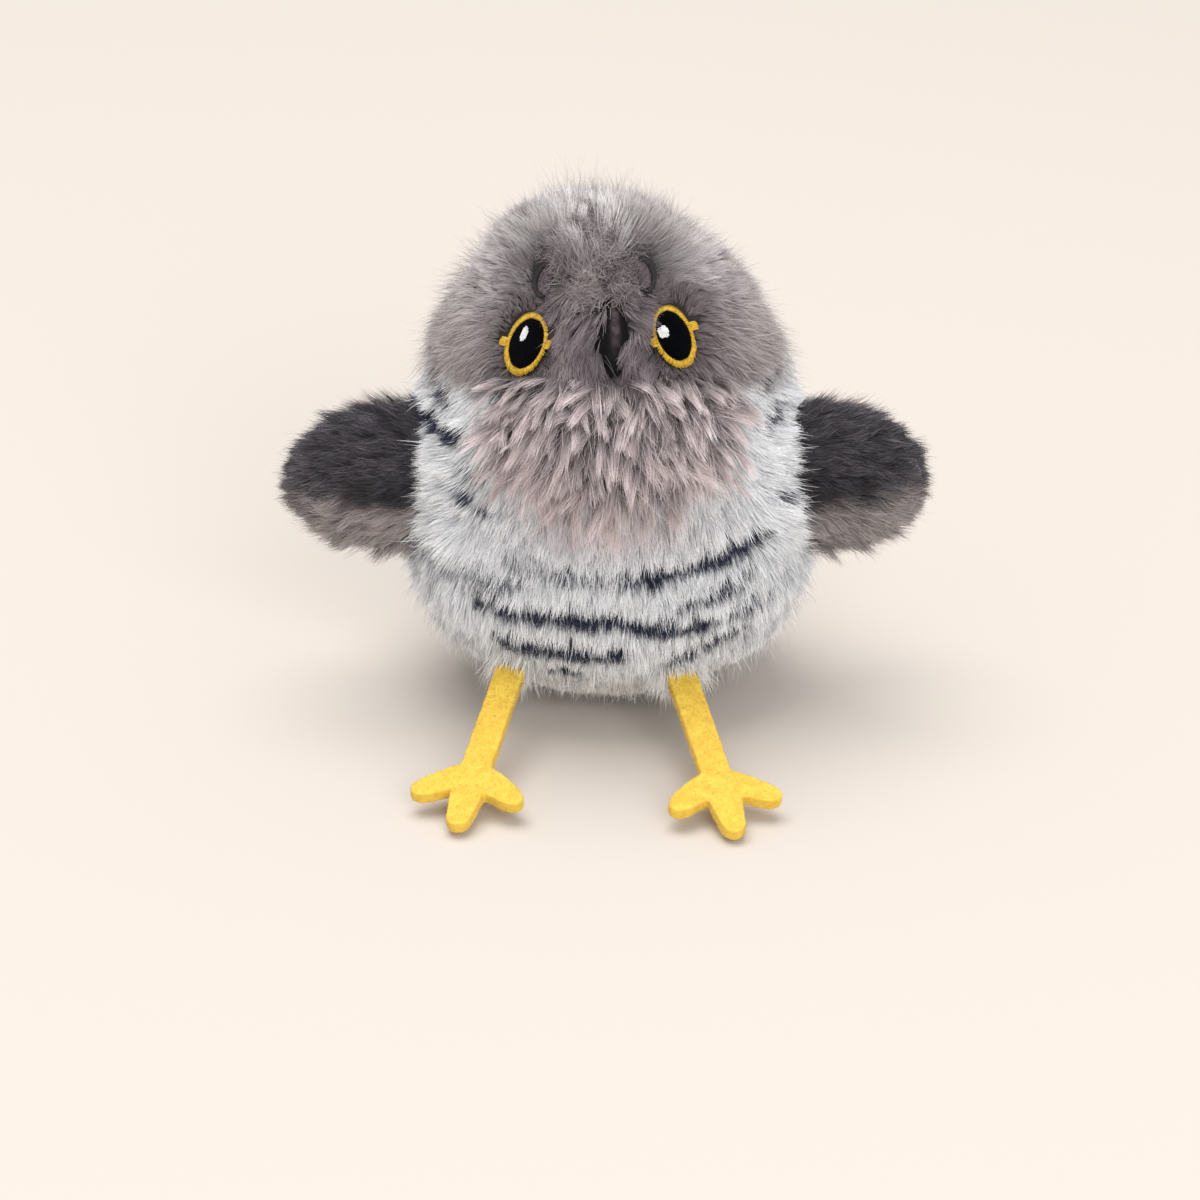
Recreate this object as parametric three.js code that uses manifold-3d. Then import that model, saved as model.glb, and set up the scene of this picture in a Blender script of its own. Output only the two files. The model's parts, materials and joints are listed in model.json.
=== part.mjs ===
// A flapping plush bird, a toy for cats.
// A stuffed body with hood, belly and chest panels holds a plastic flapping module.
// The module's motor turns a gear train, a crank and a yoke, and two levers flap the wings.
// Millimetres, +Z up. The bird faces -Y and its own left side is +X.
// The origin is on the floor under the middle of the body.

import * as THREE from 'three';
import { mergeVertices } from 'three/addons/utils/BufferGeometryUtils.js';
import Module from 'manifold-3d';

const wasm = await Module();
wasm.setup();

// Plush body. Heights on the head are measured down from its crown
const bodyHalfWidth = 49;
const bodyHalfDepth = 41.5;
const waistHeight = 42;
const crownHeight = 126;
const upperRoundness = 2.05;
const lowerRoundness = 2.2;
const baseCut = 0.5;
const headLean = 4;
const plushThickness = 2.5;
const seamGap = 0.3;
const bodySides = 32;
const bodyRings = 14;

// How far a cutter runs past what it cuts, and a boss into the wall that carries it
const overcut = 1;
const weldDepth = 0.5;

// Seam between the grey hood and the white belly, seen from the side
const hoodSeamBelowCrown = 45;
const hoodSeamHeight = crownHeight - hoodSeamBelowCrown;
const hoodSeamSlope = 0.3;
const hoodSeamDrop = 21;
const backSeamDepth = 16;

// Long-pile chest bib
const bibBelowCrown = 42;
const bibHeight = crownHeight - bibBelowCrown;
const bibHalfWidth = 34;
const bibHalfHeight = 15;

// The bib's long tufts, which stand off the chest and hang over the belly
const ruffBelowCrown = 56;
const ruffHeight = crownHeight - ruffBelowCrown;
const ruffHalfWidth = 40;
const ruffFront = -46;
const ruffMiddleY = -8;
const ruffHalfHeight = 37;
const ruffSides = 18;
const ruffRings = 12;

// Face
const faceShift = -2.5;
const eyeSpacing = 34.6;
const eyesBelowCrown = 24.4;
const eyeHeight = crownHeight - eyesBelowCrown;
const faceRoll = 0.063;
const eyeHalfWidth = 5.3;
const eyeHalfHeight = 7.6;
const eyeLean = 0.2;
const ringWidth = 1.0;
const ringFoot = 2.2;
const stitchLift = 0.3;
const stitchThickness = 1.0;
const glintX = -1.4;
const glintRise = 2.2;
const glintHalfWidth = 1.0;
const glintHalfHeight = 2.0;
const cornerStitchLength = 1.7;
const cornerStitchHalfHeight = 1.2;
const cornerStitchRound = 0.95;
const browsBelowCrown = 11.7;
const browHeight = crownHeight - browsBelowCrown;
const browSpacing = 22.5;
const browCentre = -4;
const browHalfWidth = 2.6;
const browHalfHeight = 4.2;
const browThread = 1.1;
const browHalfSweep = 1.75;

// Beak, a folded velvet piece
const beakX = 0.3;
const beakBelowCrown = 16.5;
const beakTop = crownHeight - beakBelowCrown;
const beakLength = 18.5;
const beakWidth = 8;
const beakReach = 5;
const beakLeastShare = 0.18;
const beakTopReach = 0.55;
const beakReachGain = 0.6;

// Felt legs
const legLength = 60;
const legHalfWidth = 3.6;
const feltThickness = 3;
const toeRadius = 4.1;
const sideToeRootHalfWidth = 3.2;
const footLength = 22;
const sideToeBack = 15;
const sideToeSpread = 9.8;
const legRise = 18.6;
const leftLegX = 16.3;
const rightLegX = -23;
const legHeading = 0.22;
const floorClearance = 0.2;
const legSeamGap = 0.5;

// Height of the crank's axis, which the module, the wings and the closure keep to
const moduleHeight = 56;

// Wings
const wingRise = 2;
const wingHeight = moduleHeight + wingRise;
const wingRootX = 50;
const wingSpan = 28.5;
const wingHalfHeight = 18.5;
const wingHalfThickness = 8.5;
const wingCover = 1.8;
const wingBandDrop = 10;
const wingBandHeight = moduleHeight - wingBandDrop;
const wingSides = 20;
const wingRings = 7;
const wingClearance = 0.6;
const wingLowerRoundness = 2.6;
const wingTipFlat = 0.985;
const wingSeamBack = 1;
const wingSeamRound = 4;

// Flapping linkage
const flapAngle = Math.PI / 10;
const pivotX = 28.5;
const leverFront = -9.5;
const leverThickness = 3;
const leverInnerArm = 13;
const leverReach = 37.5;
const leverBossRadius = 4;
const leverNeckRadius = 3;
const leverTipRadius = 3.6;
const leverEyeRadius = 2.6;
const leverPinRadius = 1.25;
const leverPinPlay = 0.4;
const leverHoleRadius = 1.5;
const leverHolePitch = 8;
const leverSideGap = 0.4;
const planeGap = 0.6;
const pinEndGap = 0.2;
const pivotPinSeat = 4.6;
const pivotPinRadius = 1.25;
const tunnelPlay = 0.8;
const runningGap = 0.3;
const yokeThickness = 2.4;
const yokeStemHalfWidth = 3.2;
const yokeStemReach = 14.8;
const yokeBlockHalfHeight = 4.3;
const yokeWall = 1.8;
const crankPinRadius = 1.2;
const yokeSlotOpening = 1.3;
const yokeEyeRadius = 3.2;
const guideWidth = 2;
const yokeEndGap = 0.5;
const yokeCorner = 2;
const yokeStemCorner = 1;
const pivotBossRadius = 3;

// Gear train
const gearModule = 0.8;
const pressureAngle = THREE.MathUtils.degToRad(25);
const toothTip = 0.8;
const toothRoot = 1.25;
const toothPlay = 0.3;
const crankTeeth = 28;
const reductionPinionTeeth = 10;
const reductionWheelTeeth = 30;
const motorPinionTeeth = 9;
const crankGearThickness = 3.5;
const stageGap = 0.5;
const wheelThickness = 2.6;
const reductionDirection = THREE.MathUtils.degToRad(-35);
const motorDirection = THREE.MathUtils.degToRad(192);
const crankAxleRadius = 1.25;
const reductionAxleRadius = 1.0;
const motorShaftRadius = 1.0;
const motorShaftSeat = 4.5;
const crankHeadRadius = 1.9;
const reductionHeadRadius = 1.6;
const axleHeadThickness = 0.5;
const pinionSetback = 0.7;
const crankHoles = 6;
const crankHoleRadius = 1.4;

// Module housing
const housingHalfWidth = 35;
const housingDrop = 28;
const housingRise = 21;
const housingBottom = moduleHeight - housingDrop;
const housingTop = moduleHeight + housingRise;
const housingCorner = 12;
const housingWall = 2;
const housingFront = -14;
const housingSplit = 8;
const housingBack = 32;
const housingSoftEdge = 2.5;
const rearTaperAcross = 17;
const rearTaperUp = 10;
const splitGap = 0.3;
const plateThickness = 2;
const cavityPlay = 0.4;

// Fasteners
const screwX = 28.5;
const screwInset = 6.5;
const screwLower = housingBottom + screwInset;
const screwUpper = housingTop - screwInset;
const screwShankRadius = 1.3;
const screwHeadRadius = 2.6;
const screwHeadHeight = 1.8;
const screwCrownRadius = 1.6;
const screwEdgeHeight = 0.8;
const screwSlotHalfWidth = 0.4;
const screwSlotHalfLength = 1.7;
const screwSlotDepth = 0.9;
const screwTipLength = 1.5;
const screwHeadPlay = 0.5;
const screwTowerWall = 1.2;
const screwLength = 11.5;
const screwSeat = 10.6;
const postRadius = 3.6;

// Motor, battery and board
const motorHalfWidth = 6;
const motorHalfHeight = 5;
const motorLength = 15;
const motorCapLength = 3;
const motorCapInset = 0.8;
const motorBossRadius = 3;
const batteryHalfWidth = 17;
const batteryHeight = 17;
const batteryThickness = 7;
const batteryCorner = 1.5;
const batteryDrop = 0.5;
const batteryBottom = moduleHeight - batteryDrop;
const boardFront = 26;
const boardThickness = 1.6;
const boardHalfWidth = 17.5;
const boardDrop = 16.5;
const boardRise = 8;
const boardBottom = moduleHeight - boardDrop;
const boardTop = moduleHeight + boardRise;
const boardPostX = 15;
const boardPostRadius = 2;
const boardPostDrop = 4;
const boardCorner = 2;
const speakerRadius = 6.8;
const speakerHeight = 4;
const speakerRimWidth = 1.2;
const speakerRimHeight = 1.2;
const speakerConeDepth = 0.8;
const speakerMagnetRadius = 3.7;
const speakerBasketHeight = 2;
const speakerY = -3;
const grilleSlots = 5;
const grillePitch = 2.4;
const grilleSlotWidth = 1.1;
const grilleEdge = 1.5;
const sensorX = -15.6;
const sensorDrop = 15;
const sensorHeight = moduleHeight - sensorDrop;
const sensorRadius = 2.2;
const sensorLength = 12;

// Service collar with button, socket and light, behind the closure flap
const collarDrop = 8.5;
const collarHeight = moduleHeight - collarDrop;
const collarHalfWidth = 11.5;
const collarHalfHeight = 9;
const collarBack = 36.6;
const collarCorner = 3;
const collarInnerCorner = 0.6;
const buttonX = -5.2;
const buttonRadius = 3.6;
const buttonFlangeRadius = 4.3;
const buttonFlangeThickness = 1;
const buttonRise = 0.7;
const buttonTravel = 0.8;
const buttonEdge = 0.5;
const switchHalfSize = 3;
const switchHeight = 3.3;
const switchPlungerRadius = 1.6;
const switchPlungerHeight = 0.5;
const socketX = 4.6;
const socketHalfWidth = 4.5;
const socketHalfHeight = 1.6;
const socketWall = 0.4;
const socketDepth = 5;
const socketSetback = 0.2;
const tongueInset = 1.2;
const tongueHalfThickness = 0.35;
const tongueSetback = 0.6;
const lightRise = 4.6;
const lightRadius = 1.2;
const lightFootRadius = 1.8;
const lightFootHeight = 1.4;
const lightDomeRadius = 0.7;
const lightDomeHeight = 0.5;
const lightReach = 0.1;

// Twin leads between the board and what it drives
const leadRadius = 0.7;
const leadSides = 6;
const leadSteps = 12;
const leadPull = 0.45;
const leadNotchHalfWidth = 2;
const leadNotchHeight = 3.5;
const batteryLeadX = 14;
const batteryLeadRise = 9;
const batteryLeadBoardX = 11;
const batteryLeadDrop = 4;
const motorLeadAcross = 3.2;
const motorLeadRise = 5;
const speakerLeadX = 12;
const speakerLeadLift = 4;
const speakerLeadHeight = housingBottom + speakerLeadLift;
const speakerLeadRise = 3.5;

// Rear closure
const closureHalfWidth = 17;
const closureDrop = 16;
const closureRise = 12;
const closureBottom = collarHeight - closureDrop;
const closureTop = collarHeight + closureRise;
const closureGap = 0.35;
const closureCorner = 3;
const stripThickness = 0.9;
const stripHeight = 5.2;
const stripHalfWidth = 14;
const stripRise = 0.9;
const stripCorner = 1;

// Looks of each material
const finishes = {
  hood: { color: 0xa39b97, roughness: 0.97, metalness: 0 },
  belly: { color: 0xdcdde0, roughness: 0.97, metalness: 0 },
  bib: { color: 0x9c8f8e, roughness: 0.98, metalness: 0 },
  charcoal: { color: 0x3f3c41, roughness: 0.96, metalness: 0 },
  taupe: { color: 0x8a807d, roughness: 0.96, metalness: 0 },
  padding: { color: 0xf0eee8, roughness: 1, metalness: 0 },
  velvet: { color: 0x55494f, roughness: 0.9, metalness: 0 },
  yellowFelt: { color: 0xf2cf52, roughness: 0.93, metalness: 0 },
  goldThread: { color: 0xd9a514, roughness: 0.55, metalness: 0 },
  blackThread: { color: 0x08080d, roughness: 0.45, metalness: 0 },
  whiteThread: { color: 0xf3f3f3, roughness: 0.5, metalness: 0 },
  darkThread: { color: 0x2a2530, roughness: 0.6, metalness: 0 },
  tape: { color: 0x8e8a88, roughness: 0.95, metalness: 0 },
  shellPlastic: { color: 0xe4e4e0, roughness: 0.5, metalness: 0 },
  gearPlastic: { color: 0xf3efe2, roughness: 0.4, metalness: 0 },
  leverPlastic: { color: 0xd8d8d6, roughness: 0.45, metalness: 0 },
  steel: { color: 0xb8bbc0, roughness: 0.3, metalness: 1 },
  board: { color: 0x1f6b3a, roughness: 0.5, metalness: 0 },
  blackPlastic: { color: 0x1c1c1e, roughness: 0.5, metalness: 0 },
  batteryWrap: { color: 0x3c6fb0, roughness: 0.45, metalness: 0 },
  redPlastic: { color: 0xc23a2e, roughness: 0.45, metalness: 0 },
  clearPlastic: { color: 0xf1f5f2, roughness: 0.15, metalness: 0 },
  leadSleeve: { color: 0x8f1f1f, roughness: 0.5, metalness: 0 },
};

// Closed three.js geometry as a solid that can be joined and cut
const weldDistance = 1e-4;

function signedVolume(positions, corners) {
  let sum = 0;
  const a = new THREE.Vector3();
  const b = new THREE.Vector3();
  const c = new THREE.Vector3();
  for (let i = 0; i < corners.length; i += 3) {
    a.fromArray(positions, corners[i] * 3);
    b.fromArray(positions, corners[i + 1] * 3);
    c.fromArray(positions, corners[i + 2] * 3);
    sum += a.dot(b.cross(c));
  }
  return sum / 6;
}

function toSolid(geometry) {
  const bare = geometry.clone();
  bare.deleteAttribute('normal');
  bare.deleteAttribute('uv');
  const welded = mergeVertices(bare, weldDistance);
  const positions = welded.attributes.position.array;
  const all = welded.index.array;
  let corners = [];
  for (let i = 0; i < all.length; i += 3) {
    const [a, b, c] = [all[i], all[i + 1], all[i + 2]];
    if (a !== b && b !== c && c !== a) {
      corners.push(a, b, c);
    }
  }
  if (signedVolume(positions, corners) < 0) {
    corners = corners.reverse();
  }
  const mesh = new wasm.Mesh({
    numProp: 3,
    vertProperties: Float32Array.from(positions),
    triVerts: Uint32Array.from(corners),
  });
  return new wasm.Manifold(mesh);
}

function toGeometry(solid) {
  const mesh = solid.getMesh();
  const geometry = new THREE.BufferGeometry();
  geometry.setAttribute('position', new THREE.Float32BufferAttribute(mesh.vertProperties, 3));
  geometry.setIndex(new THREE.Uint32BufferAttribute(mesh.triVerts, 1));
  geometry.computeVertexNormals();
  return geometry;
}

function joined(...solids) {
  return solids.reduce((whole, next) => whole.add(next));
}

function cut(solid, ...cutters) {
  return cutters.reduce((left, cutter) => left.subtract(cutter), solid);
}

// Basic forms, each placed where it belongs

function block(x0, x1, y0, y1, z0, z1) {
  const geometry = new THREE.BoxGeometry(x1 - x0, y1 - y0, z1 - z0);
  geometry.translate((x0 + x1) / 2, (y0 + y1) / 2, (z0 + z1) / 2);
  return toSolid(geometry);
}

// A flat shape drawn in x and z, thick from one y to another
function slab(shape, yFront, yBack, curveSegments = 4) {
  const geometry = new THREE.ExtrudeGeometry(shape, {
    depth: yBack - yFront,
    bevelEnabled: false,
    curveSegments,
  });
  geometry.rotateX(Math.PI / 2);
  geometry.translate(0, yBack, 0);
  return toSolid(geometry);
}

// A shape drawn in y and z, thick from one x to another
function sideSlab(shape, xLeft, xRight, curveSegments = 4) {
  const geometry = new THREE.ExtrudeGeometry(shape, {
    depth: xRight - xLeft,
    bevelEnabled: false,
    curveSegments,
  });
  const turn = new THREE.Matrix4().makeBasis(
    new THREE.Vector3(0, 1, 0),
    new THREE.Vector3(0, 0, 1),
    new THREE.Vector3(1, 0, 0),
  );
  geometry.applyMatrix4(turn);
  geometry.translate(xLeft, 0, 0);
  return toSolid(geometry);
}

function rod(x, z, radius, yFront, yBack, sides = 16) {
  const geometry = new THREE.CylinderGeometry(radius, radius, yBack - yFront, sides);
  geometry.translate(x, (yFront + yBack) / 2, z);
  return toSolid(geometry);
}

// A turned form about an axis along y; its profile holds radius and y pairs
function turned(profile, x, z, sides = 20) {
  const points = profile.map(([radius, y]) => new THREE.Vector2(radius, y));
  const geometry = new THREE.LatheGeometry(points, sides);
  geometry.translate(x, 0, z);
  return toSolid(geometry);
}

// Skin over rings of points that all run the same way round
function loft(rings) {
  const positions = [];
  const corners = [];
  const count = rings[0].length;
  for (const ring of rings) {
    for (const point of ring) {
      positions.push(point.x, point.y, point.z);
    }
  }
  for (let i = 0; i + 1 < rings.length; i += 1) {
    for (let j = 0; j < count; j += 1) {
      const a = i * count + j;
      const b = i * count + ((j + 1) % count);
      corners.push(a, b, b + count, a, b + count, a + count);
    }
  }
  const last = (rings.length - 1) * count;
  for (const [ring, start, flip] of [[rings[0], 0, true], [rings[rings.length - 1], last, false]]) {
    const centre = ring.reduce((sum, point) => sum.add(point), new THREE.Vector3());
    centre.divideScalar(count);
    const hub = positions.length / 3;
    positions.push(centre.x, centre.y, centre.z);
    for (let j = 0; j < count; j += 1) {
      const a = start + j;
      const b = start + ((j + 1) % count);
      corners.push(...(flip ? [b, a, hub] : [a, b, hub]));
    }
  }
  const geometry = new THREE.BufferGeometry();
  geometry.setAttribute('position', new THREE.Float32BufferAttribute(positions, 3));
  geometry.setIndex(corners);
  return toSolid(geometry);
}

function circlePath(x, y, radius) {
  const path = new THREE.Path();
  path.absarc(x, y, radius, 0, 2 * Math.PI, true);
  return path;
}

function ellipseShape(x, y, halfWidth, halfHeight) {
  const shape = new THREE.Shape();
  shape.absellipse(x, y, halfWidth, halfHeight, 0, 2 * Math.PI, false, 0);
  return shape;
}

// Corners stay a little short of the middle, so that opposite arcs never meet
function roundedRectangle(left, right, bottom, top, wantedCorner) {
  const fullest = (0.96 * Math.min(right - left, top - bottom)) / 2;
  const corner = Math.min(wantedCorner, fullest);
  const shape = new THREE.Shape();
  shape.absarc(right - corner, bottom + corner, corner, -Math.PI / 2, 0, false);
  shape.absarc(right - corner, top - corner, corner, 0, Math.PI / 2, false);
  shape.absarc(left + corner, top - corner, corner, Math.PI / 2, Math.PI, false);
  shape.absarc(left + corner, bottom + corner, corner, Math.PI, Math.PI * 1.5, false);
  shape.closePath();
  return shape;
}

// Two circles joined by their tangents
function taperedBar(x0, y0, radius0, x1, y1, radius1) {
  const along = Math.atan2(y1 - y0, x1 - x0);
  const length = Math.hypot(x1 - x0, y1 - y0);
  const spread = Math.acos((radius0 - radius1) / length);
  const shape = new THREE.Shape();
  shape.absarc(x0, y0, radius0, along + spread, along - spread + 2 * Math.PI, false);
  shape.absarc(x1, y1, radius1, along - spread, along + spread, false);
  shape.closePath();
  return shape;
}

// The plush body: an egg whose head leans a little to its right

function headShift(z) {
  const rise = Math.max(0, z - waistHeight) / (crownHeight - waistHeight);
  return -headLean * rise * rise;
}

// Share of the full width that is left at a height
function bodyShare(z, outset = 0) {
  const upper = z > waistHeight;
  const reach = (upper ? crownHeight - waistHeight : waistHeight + baseCut) + outset;
  const power = upper ? upperRoundness : lowerRoundness;
  const rise = Math.min(1, Math.abs(z - waistHeight) / reach);
  return (1 - rise ** power) ** (1 / power);
}

function bodySurface(x, z, outset = 0, facing = -1) {
  const across = (x - headShift(z)) / (bodyHalfWidth + outset);
  const share = bodyShare(z, outset);
  const depth = Math.sqrt(Math.max(0, share * share - across * across));
  return new THREE.Vector3(x, facing * (bodyHalfDepth + outset) * depth, z);
}

function bodyNormal(x, z) {
  const step = 0.5;
  const here = bodySurface(x, z);
  const across = bodySurface(x + step, z).sub(here);
  const upward = bodySurface(x, z + step).sub(here);
  return across.cross(upward).normalize();
}

function bodyForm(outset) {
  const points = [];
  for (let i = 0; i <= bodyRings; i += 1) {
    const angle = -Math.PI / 2 + (Math.PI * i) / bodyRings;
    const upper = angle > 0;
    const reach = (upper ? crownHeight - waistHeight : waistHeight + baseCut) + outset;
    const power = 2 / (upper ? upperRoundness : lowerRoundness);
    const pole = i === 0 || i === bodyRings;
    const radius = pole ? 0 : (bodyHalfWidth + outset) * Math.cos(angle) ** power;
    const rise = reach * Math.sign(angle) * Math.abs(Math.sin(angle)) ** power;
    points.push(new THREE.Vector2(radius, rise));
  }
  const geometry = new THREE.LatheGeometry(points, bodySides);
  geometry.rotateX(Math.PI / 2);
  geometry.scale(1, (bodyHalfDepth + outset) / (bodyHalfWidth + outset), 1);
  geometry.translate(0, 0, waistHeight);
  const position = geometry.attributes.position;
  for (let i = 0; i < position.count; i += 1) {
    position.setX(i, position.getX(i) + headShift(position.getZ(i)));
  }
  return toSolid(geometry);
}

const wide = 2 * (wingRootX + wingSpan);
const tall = 2 * crownHeight;
const underfloor = block(-wide, wide, -wide, wide, -tall, 0);

function standingForm(outset) {
  return cut(bodyForm(outset), underfloor);
}

// A thin layer of the body's skin between two depths
function bodyLayer(outerInset, thickness) {
  return cut(bodyForm(-outerInset), bodyForm(-outerInset - thickness));
}

function hoodRegion(shift) {
  const side = new THREE.Shape();
  side.moveTo(-wide, hoodSeamHeight + hoodSeamSlope * wide);
  side.lineTo(0, hoodSeamHeight);
  const curveFoot = hoodSeamHeight - hoodSeamDrop;
  side.absellipse(0, curveFoot, backSeamDepth, hoodSeamDrop, Math.PI / 2, 0, true, 0);
  side.lineTo(backSeamDepth, -tall);
  side.lineTo(wide, -tall);
  side.lineTo(wide, tall);
  side.lineTo(-wide, tall);
  side.closePath();
  const shape = new THREE.Shape(side.getPoints(5).map((p) => p.add(new THREE.Vector2(-shift, -shift))));
  return sideSlab(shape, -wide, wide);
}

function bibRegion(grow) {
  const shape = ellipseShape(0, bibHeight, bibHalfWidth + grow, bibHalfHeight + grow);
  return slab(shape, -wide, 0, 9);
}

// The bib's tufts as one soft swelling of the chest, which ends under the beak
function ruffForm() {
  const geometry = new THREE.SphereGeometry(1, ruffSides, ruffRings);
  geometry.rotateX(Math.PI / 2);
  geometry.scale(ruffHalfWidth, ruffMiddleY - ruffFront, ruffHalfHeight);
  geometry.translate(headShift(ruffHeight), ruffMiddleY, ruffHeight);
  const top = beakTop - beakLength - seamGap;
  return cut(toSolid(geometry), block(-wide, wide, -wide, wide, top, tall));
}

// The slot that a wing's lever swings in, on one side of the body
function leverTunnel(side) {
  const flare = Math.tan(flapAngle);
  const halfHeight = leverNeckRadius / Math.cos(flapAngle) + tunnelPlay;
  const start = pivotX + leverBossRadius;
  const end = wide;
  const shape = new THREE.Shape([
    new THREE.Vector2(side * start, moduleHeight - halfHeight - flare * (start - pivotX)),
    new THREE.Vector2(side * end, moduleHeight - halfHeight - flare * (end - pivotX)),
    new THREE.Vector2(side * end, moduleHeight + halfHeight + flare * (end - pivotX)),
    new THREE.Vector2(side * start, moduleHeight + halfHeight + flare * (start - pivotX)),
  ]);
  const yFront = leverFront - tunnelPlay;
  const yBack = leverFront + leverThickness + tunnelPlay;
  return slab(shape, yFront, yBack);
}

function closureRegion(grow) {
  const shape = roundedRectangle(
    -closureHalfWidth - grow,
    closureHalfWidth + grow,
    closureBottom - grow,
    closureTop + grow,
    closureCorner + grow,
  );
  return slab(shape, 0, wide, 3);
}

const root = new THREE.Group();
root.name = 'flapping_bird';

// Adds a named solid to a group, measured from the group's own place
function addPiece(group, name, solid, finish) {
  const geometry = toGeometry(solid);
  geometry.translate(-group.position.x, -group.position.y, -group.position.z);
  const mesh = new THREE.Mesh(geometry, new THREE.MeshStandardMaterial(finishes[finish]));
  mesh.name = name;
  group.add(mesh);
  return mesh;
}

function addGroup(name, x, y, z) {
  const group = new THREE.Group();
  group.name = name;
  group.position.set(x, y, z);
  root.add(group);
  return group;
}

// Module outline

const rearStart = housingSplit + splitGap;
const housingMiddle = (housingBottom + housingTop) / 2;

// A ring of the housing's rounded outline, drawn in by an amount each way
function housingRing(y, inX, inZ) {
  const corner = Math.max(1, housingCorner - Math.min(inX, inZ));
  const shape = roundedRectangle(
    -housingHalfWidth + inX,
    housingHalfWidth - inX,
    housingBottom + inZ,
    housingTop - inZ,
    corner,
  );
  return shape.getPoints(2).map((p) => new THREE.Vector3(p.x, y, p.y));
}

function frontForm(inset, yBack) {
  const yFront = housingFront + inset;
  const soft = housingSoftEdge;
  return loft([
    housingRing(yFront, soft + inset, soft + inset),
    housingRing(yFront + soft * 0.3, soft * 0.3 + inset, soft * 0.3 + inset),
    housingRing(yFront + soft, inset, inset),
    housingRing(yBack, inset, inset),
  ]);
}

function rearForm(inset, yFront) {
  const rings = [housingRing(yFront, inset, inset)];
  const steps = 4;
  const depth = housingBack - inset - rearStart;
  for (let i = 1; i <= steps; i += 1) {
    const part = i / steps;
    const inX = inset + rearTaperAcross * part * part;
    const inZ = inset + rearTaperUp * part * part;
    rings.push(housingRing(rearStart + depth * part, inX, inZ));
  }
  return loft(rings);
}

function collarForm(grow, yFront, yBack) {
  const shape = roundedRectangle(
    -collarHalfWidth - grow,
    collarHalfWidth + grow,
    collarHeight - collarHalfHeight - grow,
    collarHeight + collarHalfHeight + grow,
    Math.max(collarInnerCorner, collarCorner + grow),
  );
  return slab(shape, yFront, yBack, 3);
}

// Plush panels and stuffing

function buildBody() {
  const body = addGroup('plush_body', 0, 0, 0);
  const skin = cut(standingForm(0), bodyForm(-plushThickness));
  const hoodShape = hoodRegion(0);
  const belowHood = hoodRegion(seamGap);
  const bib = bibRegion(0);
  const tunnels = joined(leverTunnel(1), leverTunnel(-1));

  const hood = cut(skin.intersect(hoodShape), closureRegion(closureGap));
  addPiece(body, 'hood_skin', hood, 'hood');

  const belly = cut(skin, belowHood, bibRegion(seamGap), tunnels);
  addPiece(body, 'belly_skin', belly, 'belly');

  const ruff = ruffForm();
  const overBelly = cut(ruff, bodyForm(seamGap));
  const ruffRoot = cut(ruff.intersect(bib), bodyForm(-plushThickness / 2));
  const chest = cut(joined(skin.intersect(bib), overBelly, ruffRoot), belowHood);
  addPiece(body, 'chest_bib', chest, 'bib');

  const stuffingInset = plushThickness + seamGap;
  const floorOfStuffing = block(-wide, wide, -wide, wide, -tall, plushThickness + seamGap);
  const moduleSpace = joined(
    frontForm(-cavityPlay, rearStart),
    rearForm(-cavityPlay, rearStart - overcut),
    collarForm(cavityPlay, housingSplit, wide),
  );
  const stripSpace = stripRegion(cavityPlay / 2, cavityPlay / 2).subtract(
    bodyForm(-stuffingInset - 2 * stripThickness - 2 * seamGap),
  );
  const stuffing = cut(bodyForm(-stuffingInset), floorOfStuffing, moduleSpace, tunnels, stripSpace);
  addPiece(body, 'body_stuffing', stuffing, 'padding');
}

// Where the closure's strips lie, under the flap's lower edge
function stripRegion(growAcross, growUp) {
  const bottom = closureBottom + stripRise;
  const shape = roundedRectangle(
    -stripHalfWidth - growAcross,
    stripHalfWidth + growAcross,
    bottom - growUp,
    bottom + stripHeight + growUp,
    stripCorner,
  );
  return slab(shape, 0, wide, 2);
}

function buildClosure() {
  const hingeY = bodySurface(0, closureTop, 0, 1).y;
  const flapGroup = addGroup('closure', 0, hingeY, closureTop);
  const skin = bodyLayer(0, plushThickness);
  addPiece(flapGroup, 'closure_flap', skin.intersect(closureRegion(0)), 'hood');
  const loopInset = plushThickness + seamGap;
  const loop = bodyLayer(loopInset, stripThickness).intersect(stripRegion(0, 0));
  addPiece(flapGroup, 'loop_strip', loop, 'tape');
  const hookInset = loopInset + stripThickness + seamGap;
  const hook = bodyLayer(hookInset, stripThickness).intersect(stripRegion(0, 0));
  addPiece(root.getObjectByName('plush_body'), 'hook_strip', hook, 'tape');
}

// Face

// A flat shape laid on the face like stitching, with its own middle, roll and holes
function stitched(solid, x, z, roll) {
  const geometry = toGeometry(solid);
  const centre = bodySurface(x, z);
  const outward = bodyNormal(x, z);
  const upward = new THREE.Vector3(0, 0, 1).addScaledVector(outward, -outward.z).normalize();
  const across = upward.clone().cross(outward);
  geometry.rotateZ(roll);
  const position = geometry.attributes.position;
  const point = new THREE.Vector3();
  for (let i = 0; i < position.count; i += 1) {
    point.copy(centre);
    point.addScaledVector(across, position.getX(i));
    point.addScaledVector(upward, position.getY(i));
    const outset = stitchLift + position.getZ(i);
    const seat = bodySurface(point.x, point.z, outset);
    position.setXYZ(i, seat.x, seat.y, seat.z);
  }
  return toSolid(geometry);
}

function flatStitch(shape, curveSegments = 10) {
  return toSolid(new THREE.ExtrudeGeometry(shape, {
    depth: stitchThickness,
    bevelEnabled: false,
    curveSegments,
  }));
}

// A longer prism that cuts right through a flat stitch
function stitchHole(shape, curveSegments = 10) {
  const geometry = new THREE.ExtrudeGeometry(shape, {
    depth: 3 * stitchThickness,
    bevelEnabled: false,
    curveSegments,
  });
  geometry.translate(0, 0, -stitchThickness);
  return toSolid(geometry);
}

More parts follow.
